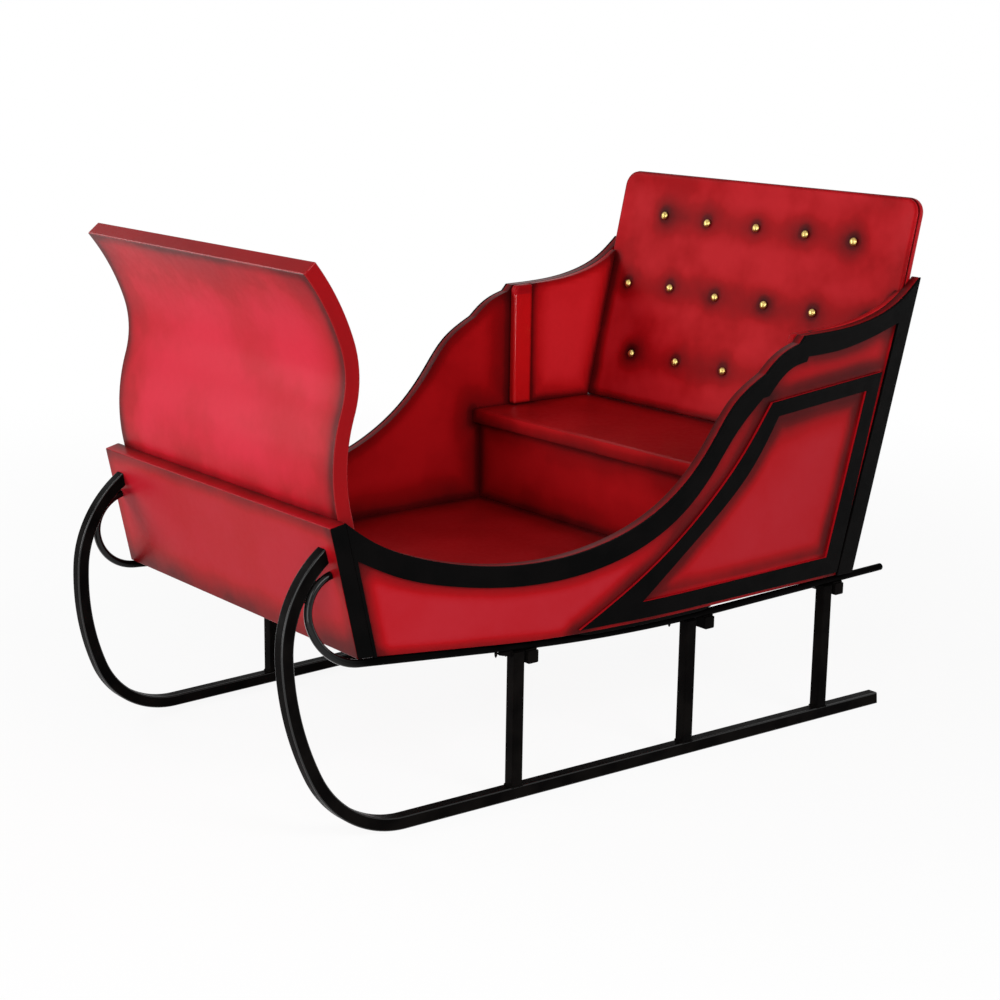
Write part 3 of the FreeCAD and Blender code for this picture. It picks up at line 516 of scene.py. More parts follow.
for hand, word in HANDS:
    def outside(x, z, w, hand=hand):
        return x, hand * half(x, WALL - w), z

    def trim_out(x, z, w, hand=hand):
        return x, hand * half(x, TRIM - w), z

    def under_trim(points, hand=hand):
        return on_side(points, TRIM, hand)
    panel = board("side_panel_" + word, [side_loop], PANEL, outside, cell=9)
    # Painted shade outside, with the boards' dark spray: along the trims, round the hole, in its corners and along the
    # foot
    spray(panel, [([under_trim(trim_low)], 42, 0.42, 0), ([under_trim([trim_low[0], nose_foot])], 45, 0.5, 0),
            ([under_trim(frame_loop[:-2])], 54, 0.66, 0),
            ([under_trim(l) for l in ([trim_low[-1], heel], frame_loop[-3:], hole_loop + hole_loop[:1])],
            45, 0.42, 12), ([under_trim(hole_loop)], 45, 0.34, 0), ([under_trim(hole_loop)], 200, 0.1, 0),
            ([under_trim([hole_loop[0]] * 2)], 115, 0.4, 0),
            ([under_trim([hole_loop[-2], hole_loop[-3]])], 110, 0.35, 0),
            ([under_trim(trim_low[-30:]), under_trim(frame_loop[-3:-1])], 75, 0.3, 0),
            ([under_trim(foot_run(TAIL_FOOT[0], NEAR_END))], 32, 0.4, 0)], lambda f: f[2] > PANEL - 0.5)
    # Painted shade inside, with the boards' dark spray: along the floor, the seat, the riser, the stile and the front
    # board, and under the top edge
    rise = [on_side(l, WALL, hand) for l in (
            foot_run(RISER_X, NEAR_END, FLOOR_TOP), [(SEAT_X, SEAT_Z - SEAT_T / 2), (-830, SEAT_Z)],
            [(SEAT_X, SEAT_Z - 8), (SEAT_X, SEAT_Z - SEAT_T), (RISER_X, SEAT_Z - SEAT_T), (RISER_X, 420)],
            [(STILE_FRONT, SEAT_Z), (STILE_FRONT, 1060)],
            [(board_x(460, 2 * BOARD), 460), (board_x(740, 2 * BOARD), 740)])]
    spray(panel, [(rise, 30, 0.5, 0), (rise, 115, 0.42, 0), ([on_side(top_line, WALL, hand)], 42, 0.35, 0)],
            lambda f: f[2] < 0.5)
    # Painted shade on the panel's edge faces, darkest beside the inside face
    dab_painted_shade(panel, lambda f: 0.5 < f[2] < PANEL - 0.5, 0.32)
    dab_painted_shade(panel, lambda f: 0.5 < f[2] < 2.6, 0.75)
    give(panel, "red_lacquered_wood", RED, RED_DEEP, RED_EDGE, nodes=("side_" + word,))
    choose(panel, lambda m, n: 1 if m[2] < 0.5 else (2 if m[2] < PANEL - 0.5 else 0))
    band = board("edge_trim_" + word, [band_loop], TRIM, trim_out, soft=1.5)
    # Painted shade on the band's edges and back; its black enamel does not read it
    dab_painted_shade(band, lambda f: f[2] < TRIM - 0.5, 0.3)
    give(band, "black_trim", BLACK, RED_EDGE, nodes=("edge_band_" + word,))
    ring = board("quarter_trim_" + word, [frame_loop, hole_loop], TRIM, trim_out, soft=1.5)
    give(ring, "black_trim", BLACK, RED_EDGE, nodes=("quarter_frame_" + word,))
    choose(ring, lambda m, n: 1 if abs(n.y) < 0.5 else 0)

# Front board
SLOPE = Vector((sin(LEAN), 0, cos(LEAN)))
BEHIND = Vector((-cos(LEAN), 0, sin(LEAN)))
EDGE = Vector((BOARD_X, 0, BOARD_Z))
BOARD_LONG = (BOARD_Z - NOSE_FOOT[1]) / cos(LEAN)


def on_board(y, s, w):
    """Across, down the slope from the upper edge, and back from the face; its foot is level."""
    q = EDGE - SLOPE * (s + s / BOARD_LONG * w * tan(LEAN)) + BEHIND * w
    return q.x, y * half(q.x) / HALF, q.z


loop = [(-HALF, 0), (HALF, 0), (HALF, BOARD_LONG), (-HALF, BOARD_LONG)]
face = board("front_board_panel", [loop], BOARD, on_board, soft=3)
corners = [on_board(s * HALF, v, 0) for s in (-1, 1) for v in (0, BOARD_LONG)]
# Painted shade with dark spray on the front board: under its top edge, wider towards its foot, along its ends, and on
# its top face next to the dash
spray(face, [([corners[0::2]], 46, 0.4, 0), ([corners[1::2]], 105, 0.5, 0),
        ([corners[0:2], corners[2:4]], 45, 0.28, 0)], lambda f: f[2] < 0.5)
dab_painted_shade(face, lambda f: f[1] < 3.2 and f[2] > BOARD - 4, 0.45)
give(face, "red_lacquered_wood", RED_BOARD, BLACK, RED_RIM_PAINTED_SHADE, nodes=("front_board",))
choose(face, lambda m, n: 1 if abs(n.y) > 0.6 else (2 if n.z > 0.6 else 0))


# Dash board

def turtle(x, z, way, legs, step=12):
    """Points and headings along straight and bent legs; heading from upright, forward positive."""
    out = [(x, z, way)]
    for radius, turn in legs:
        if turn == 0:
            n = max(1, int(radius / step))
            for _ in range(n):
                x, z = x + sin(way) * radius / n, z + cos(way) * radius / n
                out.append((x, z, way))
        else:
            sign = 1 if turn > 0 else -1
            cx, cz = x + cos(way) * sign * radius, z - sin(way) * sign * radius
            n = max(4, int(radius * abs(turn) / step))
            for i in range(1, n + 1):
                a = way + turn * i / n
                out.append((cx - cos(a) * sign * radius, cz + sin(a) * sign * radius, a))
            way += turn
            x, z = out[-1][0], out[-1][1]
    return out


DASH_HALF, ABOVE_BOARD = 491.1, 7
dash_foot_z = foot(NOSE_FOOT[0], FLOOR_TOP)
back_top = EDGE + BEHIND * BOARD
dash_foot_x = back_top.x + (dash_foot_z - back_top.z) * tan(LEAN)
straight = hypot(back_top.x - dash_foot_x, back_top.z - dash_foot_z) + ABOVE_BOARD
dash_path = turtle(dash_foot_x, dash_foot_z, LEAN, (
        (straight, 0), (445, -rad(30.7)), (225, rad(37.4)), (534, rad(20.6))), 6)
arc = np.concatenate([[0], np.cumsum([hypot(b[0] - a[0], b[1] - a[1])
        for a, b in zip(dash_path, dash_path[1:])])])
dash_arr = np.array(dash_path)


def on_dash(y, s, w):
    """Across, up the curved path and back from its face."""
    x = np.interp(s, arc, dash_arr[:, 0])
    z = np.interp(s, arc, dash_arr[:, 1])
    way = np.interp(s, arc, dash_arr[:, 2])
    return x - cos(way) * w, y, z + sin(way) * w


loop = [(-DASH_HALF, 0), (DASH_HALF, 0), (DASH_HALF, arc[-1]), (-DASH_HALF, arc[-1])]
dash = board("dash_board", [loop], BOARD, on_dash, soft=3)
hidden = straight - ABOVE_BOARD
ends = [on_dash(s * DASH_HALF, v, 0) for s in (-1, 1) for v in (hidden, arc[-1])]
sides = [[on_dash(s * DASH_HALF, v, 0) for v in np.linspace(hidden, arc[-1], 60)] for s in (-1, 1)]
# Dark spray and painted shade on the dash's face along its upper edge and sides and at its foot by the front board;
# painted shade over its back and its top face, and its ends a little darker
spray(dash, [([ends[1::2]], 34, 0.4, 0), ([ends[1::2]], 190, 0.17, 0), (sides, 40, 0.45, 0), (sides, 150, 0.2, 0),
        ([ends[0::2]], 10, 0.3, 0), ([ends[0::2]], 90, 0.1, 0)], lambda f: f[2] < 0.5)
spray(dash, [(box_lines(loop, on_dash, (BOARD,)), 70, 0.6, 0)], lambda f: f[2] > BOARD - 0.5)
dab_painted_shade(dash, lambda f: f[1] > arc[-1] - 3.2 and f[2] > 0.4, 0.2)
dab_painted_shade(dash, lambda f: abs(f[0]) > DASH_HALF - 1, 0.3)
give(dash, "red_lacquered_wood", RED_DASH_PAINTED_SHEEN, RED_EDGE, RED_RIM_PAINTED_SHADE, RED_ARRIS, nodes=("dash",))
choose(dash, lambda m, n: 1 if abs(m[0]) > DASH_HALF - 1 else (2 if m[1] > arc[-1] - 1 else 0), 3)

# Floor, seat, riser, tail board
JOINT = 0.5
IN = HALF - WALL - JOINT
SPREAD, FLOOR_REAR, FLOOR_FRONT = 500, -733, board_x(450, BOARD) - 1


def on_floor(x, t, w):
    """Across, t is a share of the way to the side, times SPREAD."""
    return x, t / SPREAD * half(x, WALL + JOINT), foot(x, FLOOR_LIFT) + w


loop = [(FLOOR_REAR, -SPREAD), (FLOOR_FRONT, -SPREAD), (FLOOR_FRONT, SPREAD), (FLOOR_REAR, SPREAD)]
floor = board("floor_board", [loop], FLOOR_T, on_floor, soft=1)
# Painted shade with dark spray where the floor meets the sides, the riser and the front board
rim = [[on_floor(x, s * SPREAD, FLOOR_T) for x in range(RISER_X, 750, 20)] for s in (-1, 1)]
rim += [[(RISER_X, -IN, foot(RISER_X, FLOOR_TOP)), (RISER_X, IN, foot(RISER_X, FLOOR_TOP))],
        [(742, -500, 457), (742, 500, 457)]]
spray(floor, [(rim, 40, 0.5, 0), (rim, 130, 0.3, 0)])
give(floor, "red_lacquered_wood", RED_TOP, nodes=("floor",))

seat_back = BACK_X - (PAD_T + BACK_T) / cos(BACK_LEAN)
loop = [(-IN, seat_back), (IN, seat_back), (IN, SEAT_X), (-IN, SEAT_X)]


def on_seat(y, x, w):
    """Seat board with its front upper edge rounded to NOSING."""
    t = (x - SEAT_X + NOSING) / NOSING
    drop = NOSING - sqrt(max(0, NOSING ** 2 - (NOSING * t) ** 2)) if 0 < t <= 1 else 0
    share = max(0, (w - SEAT_T / 2) / (SEAT_T / 2))
    return x, y, SEAT_Z - SEAT_T + w - drop * share


seat = board("seat_board", [loop], SEAT_T, on_seat, soft=3, cells=(14, 5))
# Painted shade with dark spray where the seat meets the backrest and the stiles, and under its rounded front
edges = [[(BACK_X, -IN, SEAT_Z), (BACK_X, IN, SEAT_Z)]] + [
        [(BACK_X, s * IN, SEAT_Z), (STILE_REAR, s * IN, SEAT_Z), (STILE_REAR, s * (IN - STILE_T), SEAT_Z),
        (STILE_FRONT, s * (IN - STILE_T), SEAT_Z), (STILE_FRONT, s * IN, SEAT_Z), (SEAT_X, s * IN, SEAT_Z)]
        for s in (-1, 1)]
spray(seat, [(edges, 30, 0.5, 0), (edges, 95, 0.28, 0),
        ([[(SEAT_X, -IN, SEAT_Z - SEAT_T), (SEAT_X, IN, SEAT_Z - SEAT_T)]], 16, 0.5, 0)])
give(seat, "red_lacquered_wood", RED_TOP, RED_DEEP, nodes=("seat",))
choose(seat, lambda m, n: 1 if n.x > 0.7 else 0)

riser_z = foot(-420, FLOOR_TOP)
loop = [(-IN, riser_z), (IN, riser_z), (IN, SEAT_Z - SEAT_T), (-IN, SEAT_Z - SEAT_T)]


def on_riser(y, z, w):
    return RISER_X - w, y, z


riser = board("seat_riser_board", [loop], RISER_T, on_riser, soft=1)
# Painted shade with dark spray round the riser's edges, where it meets the floor, the sides and the seat
rim = box_lines(loop, on_riser, (0,))
spray(riser, [(rim, 35, 0.5, 0), (rim, 110, 0.22, 0)])
give(riser, "red_lacquered_wood", RED_DEEP, nodes=("seat_riser",))

loop = [(-IN, TAIL_FOOT[1]), (IN, TAIL_FOOT[1]), (IN, SEAT_Z - SEAT_T), (-IN, SEAT_Z - SEAT_T)]
lean_in = hypot(1, (TAIL_FOOT[0] - TAIL_X) / (BASE_Z + RISE - TAIL_FOOT[1]))
TAIL_T = 18


def on_tail(y, z, w):
    return tail_x(z) + w * lean_in, y, z


tail = board("tail_board_panel", [loop], TAIL_T, on_tail, soft=2)
# Dark spray and painted shade round the tail board's edges
spray(tail, [(box_lines(loop, on_tail, (0,)), 60, 0.65, 8)])
give(tail, "red_lacquered_wood", RED, nodes=("tail_board",))


# Backrest

def leaned(front):
    """Placer of the backrest's layers: across, up along the lean, and back; front is the layer's own depth."""
    c, s = cos(BACK_LEAN), sin(BACK_LEAN)

    def place(y, h, w):
        w = w + front
        return BACK_X - h * s - w * c, y, SEAT_Z + h * c - w * s
    return place


on_pad = leaned(0)


def round_top(width, high, low=0):
    """Outline with its two upper corners rounded to BACK_R."""
    radius = BACK_R
    loop = [(-width, low), (width, low)]
    for sx, a0 in ((1, 0), (-1, 90)):
        for i in range(13):
            a = rad(a0 + 90 * i / 12)
            loop.append((sx * (width - radius) + cos(a) * radius, high - radius + sin(a) * radius))
    return loop


# Studs by their distance from the middle and their height, as measured, so the rows are a little uneven
STUDS = ((-379, 1270), (-194, 1263), (6, 1266), (198, 1265), (379, 1261), (-481, 1056), (-297, 1061), (-103, 1055),
        (95, 1056), (283, 1056), (478, 1058), (-407, 851), (-213, 851), (-13, 852), (184, 852), (381, 852))
BUTTONS = [(y, (z - SEAT_Z) / cos(BACK_LEAN)) for y, z in STUDS]
# How far the pad's front is set back before it swells, how deep its buttons are, and the depth of its front part
START, DIMPLE, FRONT_PART = 4.6, 6.4, PAD_T * 0.6


def rim_gap(y, h):
    """How far a point of the backrest's outline plane is inside its rounded rim."""
    dx, dz = abs(y) - (PAD_HALF - BACK_R), h - (PAD_H - BACK_R)
    return BACK_R - hypot(dx, dz) if dx > 0 and dz > 0 else min(PAD_HALF - abs(y), PAD_H - h)


def near_button(y, h):
    """Distance from the nearest button."""
    return min(hypot(y - by, h - bh) for by, bh in BUTTONS)


def slack(y, h, w):
    """The pad before it is stuffed: its front set back, rounded off at the rim and held in at each button."""
    push = 0.0
    if w < FRONT_PART:
        gap, r = rim_gap(y, h), near_button(y, h)
        push = START * (1 - fall(gap / 40)) + max(0, 1 - gap / 16) ** 2 * 2.6
        push += (DIMPLE - START) * exp(-r ** 2 / (2 * 13 ** 2))
        push *= 1 - w / FRONT_PART
    return on_pad(y, h, w + push)


FRAMES = 20


def stuffed(obj):
    """Swell the pad as cloth under pressure, held at its back, its rim and its buttons, and keep the result."""
    flat = [q.vector for q in obj.data.attributes["flat"].data]
    held = [i for i, q in enumerate(flat)
            if q.z > PAD_T * 0.45 or rim_gap(q.x, q.y) < 9 or near_button(q.x, q.y) < 10]
    obj.vertex_groups.new(name="held").add(held, 1.0, "REPLACE")
    mod = obj.modifiers.new("stuffing", "CLOTH")
    cloth = mod.settings
    cloth.quality = 6
    cloth.mass = 0.3
    cloth.tension_stiffness = cloth.compression_stiffness = 12
    cloth.shear_stiffness = 5
    cloth.bending_stiffness = 0.3
    cloth.use_pressure = True
    cloth.uniform_pressure_force = 4
    cloth.vertex_group_mass = "held"
    cloth.effector_weights.gravity = 0
    mod.collision_settings.use_collision = False
    mod.point_cache.frame_start, mod.point_cache.frame_end = 1, FRAMES
    scene = bpy.context.scene
    for number in range(1, FRAMES + 1):
        scene.frame_set(number)
    made = obj.evaluated_get(bpy.context.evaluated_depsgraph_get()).data
    limit = START * 0.92 * MM
    moves = []
    for v, w in zip(obj.data.vertices, made.vertices):
        move = w.co - v.co
        moves.append(move * (limit * tanh(move.length / limit) / move.length) if move.length > 1e-9 else move)
    obj.modifiers.remove(mod)
    for v, move in zip(obj.data.vertices, moves):
        v.co += move
    obj.vertex_groups.clear()
    scene.frame_set(1)


pad = board("tufted_back_pad", [round_top(PAD_HALF, PAD_H, 3.2)], PAD_T, slack, soft=4, cell=9)
stuffed(pad)
rim = box_lines(round_top(PAD_HALF, PAD_H, 3), on_pad, (0,))
# Painted shade on the pad: in each button's dimple, set a little up and to one side, along the rows of buttons, round
# the rim, and where it meets the arms and the seat
dimple_shade = [[on_pad(y - 5, h + 5, 0)] * 2 for y, h in BUTTONS]
rows = [[on_pad(*BUTTONS[i], 0), on_pad(*BUTTONS[j], 0)] for i, j in ((0, 4), (5, 10), (11, 15))]
REACH = 559
spray(pad, [(rim, 9, 0.3, 0), ([[on_pad(s * REACH, 0, 0), on_pad(s * REACH, 430, 0)] for s in (-1, 1)], 42, 0.6, 0),
        ([[on_pad(-REACH, 0, 0), on_pad(REACH, 0, 0)]], 36, 0.6, 0), (dimple_shade, 34, 0.74, 0), (dimple_shade, 80, 0.24, 0),
        (rows, 75, 0.22, 0)])
give(pad, "red_upholstery", RED_PAD, nodes=("back_pad",))
pad.modifiers.clear()
fine = pad.modifiers.new("finer", "SUBSURF")
fine.levels = fine.render_levels = 1
backing = board("back_backing_board", [round_top(IN, BACK_H, PAD_T * tan(BACK_LEAN) + 3.3)], BACK_T,
        leaned(PAD_T), soft=3)
# Painted shade over the backing board's back and on its front edge beside the pad
spray(backing, [(box_lines(round_top(IN, BACK_H), leaned(PAD_T), (BACK_T,)), 70, 0.6, 0)],
        lambda f: f[2] > BACK_T - 0.5)
dab_painted_shade(backing, lambda f: f[2] < 1, 0.6)
give(backing, "red_lacquered_wood", RED_EDGE, nodes=("back_board",))

# Stiles and inner panels
rear_top, lobe_end = run(SHOULDER), run(LOBE)[-1]
STILE_IN, SIDE_IN, ARM_IN = HALF - WALL - STILE_T, HALF - WALL, HALF - WALL - ARM_T
stile_top = np.interp(-STILE_REAR, [-p[0] for p in rear_top], [p[1] for p in rear_top])
post_top = [p for p in rear_top if STILE_REAR < p[0] < -520] or rear_top[:1]
stile_loop = [(STILE_FRONT, SEAT_Z), (STILE_FRONT, lobe_end[1] + 3.6), rear_top[0]] + post_top
stile_loop += [(STILE_REAR, stile_top), (STILE_REAR, SEAT_Z)]


def pad_x(z):
    """Station of the arm panel's rear edge, on the pad's face."""
    return BACK_X - (z - SEAT_Z) * tan(BACK_LEAN) + 0.4


arm_top = [p for p in rear_top if p[0] < STILE_REAR and p[0] > pad_x(p[1]) + 4]
last_z = arm_top[-1][1] + 3
arm_loop = [(STILE_REAR - 0.3, SEAT_Z), (STILE_REAR - 0.3, stile_top)]
arm_loop += arm_top + [(pad_x(last_z), last_z), (pad_x(SEAT_Z), SEAT_Z)]

for hand, word in HANDS:
    def beside(x, z, y, hand=hand):
        return x, hand * y, z
    stile = board("stile_post_" + word, [stile_loop], STILE_T,
            lambda x, z, w, hand=hand: (x, hand * (STILE_IN + w), z), soft=8, segments=5)
    feet = [beside(STILE_REAR, SEAT_Z, STILE_IN), beside(STILE_FRONT, SEAT_Z, STILE_IN),
            beside(STILE_FRONT, SEAT_Z, SIDE_IN)]
    # Painted shade where the stile meets the seat and the side, and a little on its cap
    spray(stile, [([[feet[0], beside(STILE_REAR, 1060, STILE_IN)], [feet[2], beside(STILE_FRONT, 1060, SIDE_IN)], feet],
            12, 0.6, 0)])
    dab_painted_shade(stile, lambda f: f[1] > CAP_Z + 12, 0.1)
    give(stile, "red_lacquered_wood", RED_STILE_PAINTED_LIGHT, RED_RIM_PAINTED_SHADE, nodes=("stile_" + word,))
    choose(stile, lambda m, n: 1 if m[1] > CAP_Z else 0)

    arm = board("arm_panel_" + word, [arm_loop], ARM_T,
            lambda x, z, w, hand=hand: (x, hand * (ARM_IN + w), z), soft=3)
    foot_point = beside(STILE_REAR, SEAT_Z, ARM_IN)
    # Painted shade where the arm panel meets the stile, the seat and the backrest, and dark spray and painted shade
    # along its top edge
    joint = [[foot_point, beside(STILE_REAR, 1070, ARM_IN)], [foot_point, beside(BACK_X, SEAT_Z, ARM_IN)],
            [beside(pad_x(SEAT_Z), SEAT_Z, ARM_IN), beside(pad_x(1150), 1150, ARM_IN)]]
    spray(arm, [(joint, 26, 0.5, 0), (joint, 85, 0.25, 0), ([[beside(x, z, ARM_IN) for x, z in arm_top]], 26, 0.3, 0)])
    give(arm, "red_lacquered_wood", RED_ARM_PAINTED_LIGHT, nodes=("arm_" + word,))


# Steel frame

def section(radius=3.2, n=4):
    """Rounded square, corner at 0,0 and side TUBE."""
    pts = []
    for cx, cy, a0 in ((TUBE - radius, TUBE - radius, 0), (radius, TUBE - radius, 90),
            (radius, radius, 180), (TUBE - radius, radius, 270)):
        for i in range(n + 1):
            a = rad(a0 + 90 * i / n)
            pts.append((cx + cos(a) * radius, cy + sin(a) * radius))
    return pts


def finished(bm):
    """Outward smooth faces, with sharp edges where two meet at more than 50 degrees."""
    bmesh.ops.recalc_face_normals(bm, faces=bm.faces[:])
    smooth(bm)
    for e in bm.edges:
        if len(e.link_faces) == 2 and e.calc_face_angle(0) > rad(50):
            e.smooth = False


def tube_mesh(name, rings):
    """Closed tube through rings of points; its rounded corners' narrow faces get the second material."""
    bm = bmesh.new()
    made = [[bm.verts.new(Vector(p) * MM) for p in ring] for ring in rings]
    for a, b in zip(made, made[1:]):
        for i in range(len(a)):
            j = (i + 1) % len(a)
            bm.faces.new((a[i], a[j], b[j], b[i]))
    bm.faces.new(made[0][::-1])
    bm.faces.new(made[-1])
    finished(bm)
    for f in bm.faces:
        if len(f.verts) == 4 and min(e.calc_length() for e in f.edges) < 0.003:
            f.material_index = 1
    return made_of(bm, name)


def bend_path(x0, z0, x1, legs, step=9):
    """Along the ground and round the bends: points with headings from level."""
    out = [(x0, z0, 0.0), (x1, z0, 0.0)]
    x, z, way = x1, z0, 0.0
    for radius, turn in legs:
        cx, cz = x - sin(way) * radius, z + cos(way) * radius
        n = max(4, int(radius * turn / step))
        for i in range(1, n + 1):
            a = way + turn * i / n
            out.append((cx + sin(a) * radius, cz - cos(a) * radius, a))
        way += turn
        x, z = out[-1][0], out[-1][1]
    return out


face_normal = Vector((cos(LEAN), 0, -sin(LEAN)))
run_path = bend_path(-882, 0, 695, ((270, rad(66.2)), (685, rad(24.9)), (295, rad(57))))
for hand, word in HANDS:
    rings = []
    for x, z, way in run_path:
        ring = []
        for a, b in section():
            px, pz = x - sin(way) * b, z + cos(way) * b
            ring.append((px, hand * (RUN_HALF - TOE * px - RUN_LEAN * pz - a), pz))
        rings.append(ring)
    runner = tube_mesh("runner_tube_" + word, rings)
    bm = bmesh.new()
    bm.from_mesh(runner.data)
    # Cut the upper end along the front board's face
    upper = [f for f in bm.faces if f.calc_center_median().z > 0.3]
    geom = list({v for f in upper for v in f.verts}) + list({e for f in upper for e in f.edges}) + upper
    bmesh.ops.bisect_plane(bm, geom=geom, dist=TINY, plane_co=EDGE * MM, plane_no=face_normal)
    gone = [v for v in bm.verts if v.co.z > 0.5 and (v.co - EDGE * MM).dot(face_normal) < -1e-5]
    bmesh.ops.delete(bm, geom=gone, context="VERTS")
    bmesh.ops.holes_fill(bm, edges=[e for e in bm.edges if len(e.link_faces) == 1])
    finished(bm)
    bm.to_mesh(runner.data)
    bm.free()
    give(runner, "black_steel", STEEL, STEEL_ARRIS, nodes=("runner_" + word,))

ROD_LOW_X, ROD_LOW_Z, ROD_LONG, ROD_TAIL, ROD_BEND_X = -72, 357.4, 5760, -886, 809
ROD_REAR, ROD_FRONT = rad(2.01), rad(4.75)


def rod_under(x, lift=0):
    """Underside of the rod: straight, long bend, straight; lift moves it square to that, into the rod."""
    r = ROD_LONG - lift
    inner = max(ROD_LOW_X - r * sin(ROD_REAR), min(ROD_LOW_X + r * sin(ROD_FRONT), x))
    z = ROD_LOW_Z + ROD_LONG - sqrt(r ** 2 - (inner - ROD_LOW_X) ** 2)
    return z + abs(x - inner) * tan(ROD_FRONT if x > inner else ROD_REAR)


rod_line = []
STEPS = 85
for i in range(STEPS + 1):
    x = ROD_TAIL + (ROD_BEND_X - ROD_TAIL) * i / STEPS
    z = rod_under(x, ROD_R)
    rod_line.append((x, z, atan2(rod_under(x + 1, ROD_R) - rod_under(x - 1, ROD_R), 2)))
x, z, way = rod_line[-1]
for radius, turn in ((144 - ROD_R, rad(72)), (99 - ROD_R, rad(92))):
    ccx, ccz = x - sin(way) * radius, z + cos(way) * radius
    n = int(radius * turn / 5)
    for i in range(1, n + 1):
        a = way + turn * i / n
        rod_line.append((ccx + sin(a) * radius, ccz - cos(a) * radius, a))
    way += turn
    x, z = rod_line[-1][0], rod_line[-1][1]
tilt = rad(9.09)
pivot_z = ROD_LOW_Z + ROD_R


def rod_place(p, hand):
    """From the rod's own upright plane to its leaning, toed-in place."""
    x, y, z = p
    y2 = y * cos(tilt) - (z - pivot_z) * sin(tilt)
    z2 = pivot_z + y * sin(tilt) + (z - pivot_z) * cos(tilt)
    a = -TOE_ANGLE
    return (x * cos(a) - y2 * sin(a), hand * (x * sin(a) + y2 * cos(a) + RUN_HALF - TUBE / 2), z2)


ROUND, TIP = [2 * pi * i / 18 for i in range(18)], 4
x0, z0, way0 = rod_line[0]
rod_path = [(x0 + TIP * (1 - cos(rad(t))) + 0.01, z0, way0, ROD_R - TIP + TIP * sin(rad(t)))
        for t in range(0, 91, 15)] + [(a, b, c, ROD_R) for a, b, c in rod_line[1:]]
for hand, word in HANDS:
    made = []
    for x, z, way, r in rod_path:
        spot = rod_place((x, 0, z), hand)
        if z > 600 and spot[0] < board_x(spot[2]) + 1:
            continue
        ring = [(x - sin(way) * sin(t) * r, cos(t) * r, z + cos(way) * sin(t) * r)
                for t in ROUND]
        made.append([rod_place(q, hand) for q in ring])
    rod = tube_mesh("foot_rod_" + word, made)
    for f in rod.data.polygons:
        f.material_index = 0
    give(rod, "black_steel", STEEL_ROD, nodes=("rail_" + word,))


# Black strips under the body's foot, painted shade that closes the view between it and the rods
STRIP_T = 12
for hand, word in HANDS:
    for part, x0, x1 in (("mid", -225, 200), ("nose", 560, 770)):
        line = [x0 + (x1 - x0) * i / 20 for i in range(21)]
        strip_loop = [(x, foot(x, 1)) for x in line]
        strip_loop += [(x, foot(x, -9.5 * min(1, 0.3 + min(x - x0, x1 - x) / 40))) for x in line[::-1]]

        def under_body(x, z, w, hand=hand, part=part):
            outer = half(x, 11) if part == "mid" else RUN_HALF - TUBE / 2 - TOE * x - ROD_R - 1.5
            return x, hand * (outer - STRIP_T + w), z
        strip = board("foot_strip_%s_%s" % (part, word), [strip_loop], STRIP_T, under_body, soft=1, cells=(20, 0))
        give(strip, "black_trim", BLACK)


def under_rods(x):
    """Height at which a tube with its middle at station x meets the rods from below."""
    return min(rod_under(x - TUBE / 2), rod_under(x + TUBE / 2))


def on_runner(x, z, hand):
    """Middle of the runner's tube at its upper side, and the turn of what stands on it."""
    y = hand * (RUN_HALF - TOE * x - RUN_LEAN * TUBE - TUBE / 2)
    return Vector((x, y, z)), Matrix.Rotation(-hand * TOE_ANGLE, 3, "Z")


square = [Vector((a - TUBE / 2, b - TUBE / 2, 0)) for a, b in section()]
BEARER_HALF = 20
PLACES = (("front", 370, 329.5), ("mid", -179.5, -239.5), ("rear", -666, -708))
for place, post_x, bar_x in PLACES:
    for hand, word in HANDS:
        rings = []
        for z in (TUBE, under_rods(post_x)):
            middle, turn = on_runner(post_x, z, hand)
            rings.append([tuple(middle + turn @ q) for q in square])
        post = tube_mesh("post_%s_tube_%s" % (place, word), rings)
        give(post, "black_steel", STEEL, STEEL, nodes=("post_%s_%s" % (place, word),))
    bar_top = under_rods(bar_x)
    reach = RUN_HALF - TOE * bar_x - RUN_LEAN * TUBE
    bar = tube_mesh("crossbar_%s_tube" % place, [[(bar_x - TUBE / 2 + a, y, bar_top - TUBE + b) for a, b in section()]
            for y in (-reach, reach)])
    give(bar, "black_steel", STEEL, STEEL, nodes=("crossbar_" + place,))
    rear, fore = bar_x - BEARER_HALF, bar_x + BEARER_HALF
    wide, high = half(fore, WALL + 20.5), min(foot(rear, FLOOR_LIFT), foot(fore, FLOOR_LIFT))
    bearer = board("bearer_%s_timber" % place, [[(-wide, rear), (wide, rear), (wide, fore), (-wide, fore)]],
            high - bar_top, lambda y, x, w, b=bar_top: (x, y, b + w), soft=2, cells=(0, 0))
    give(bearer, "bearer_wood", BEARER, nodes=("floor_bearer_" + place,))

# Repeated small parts, each placed on points by one node tree


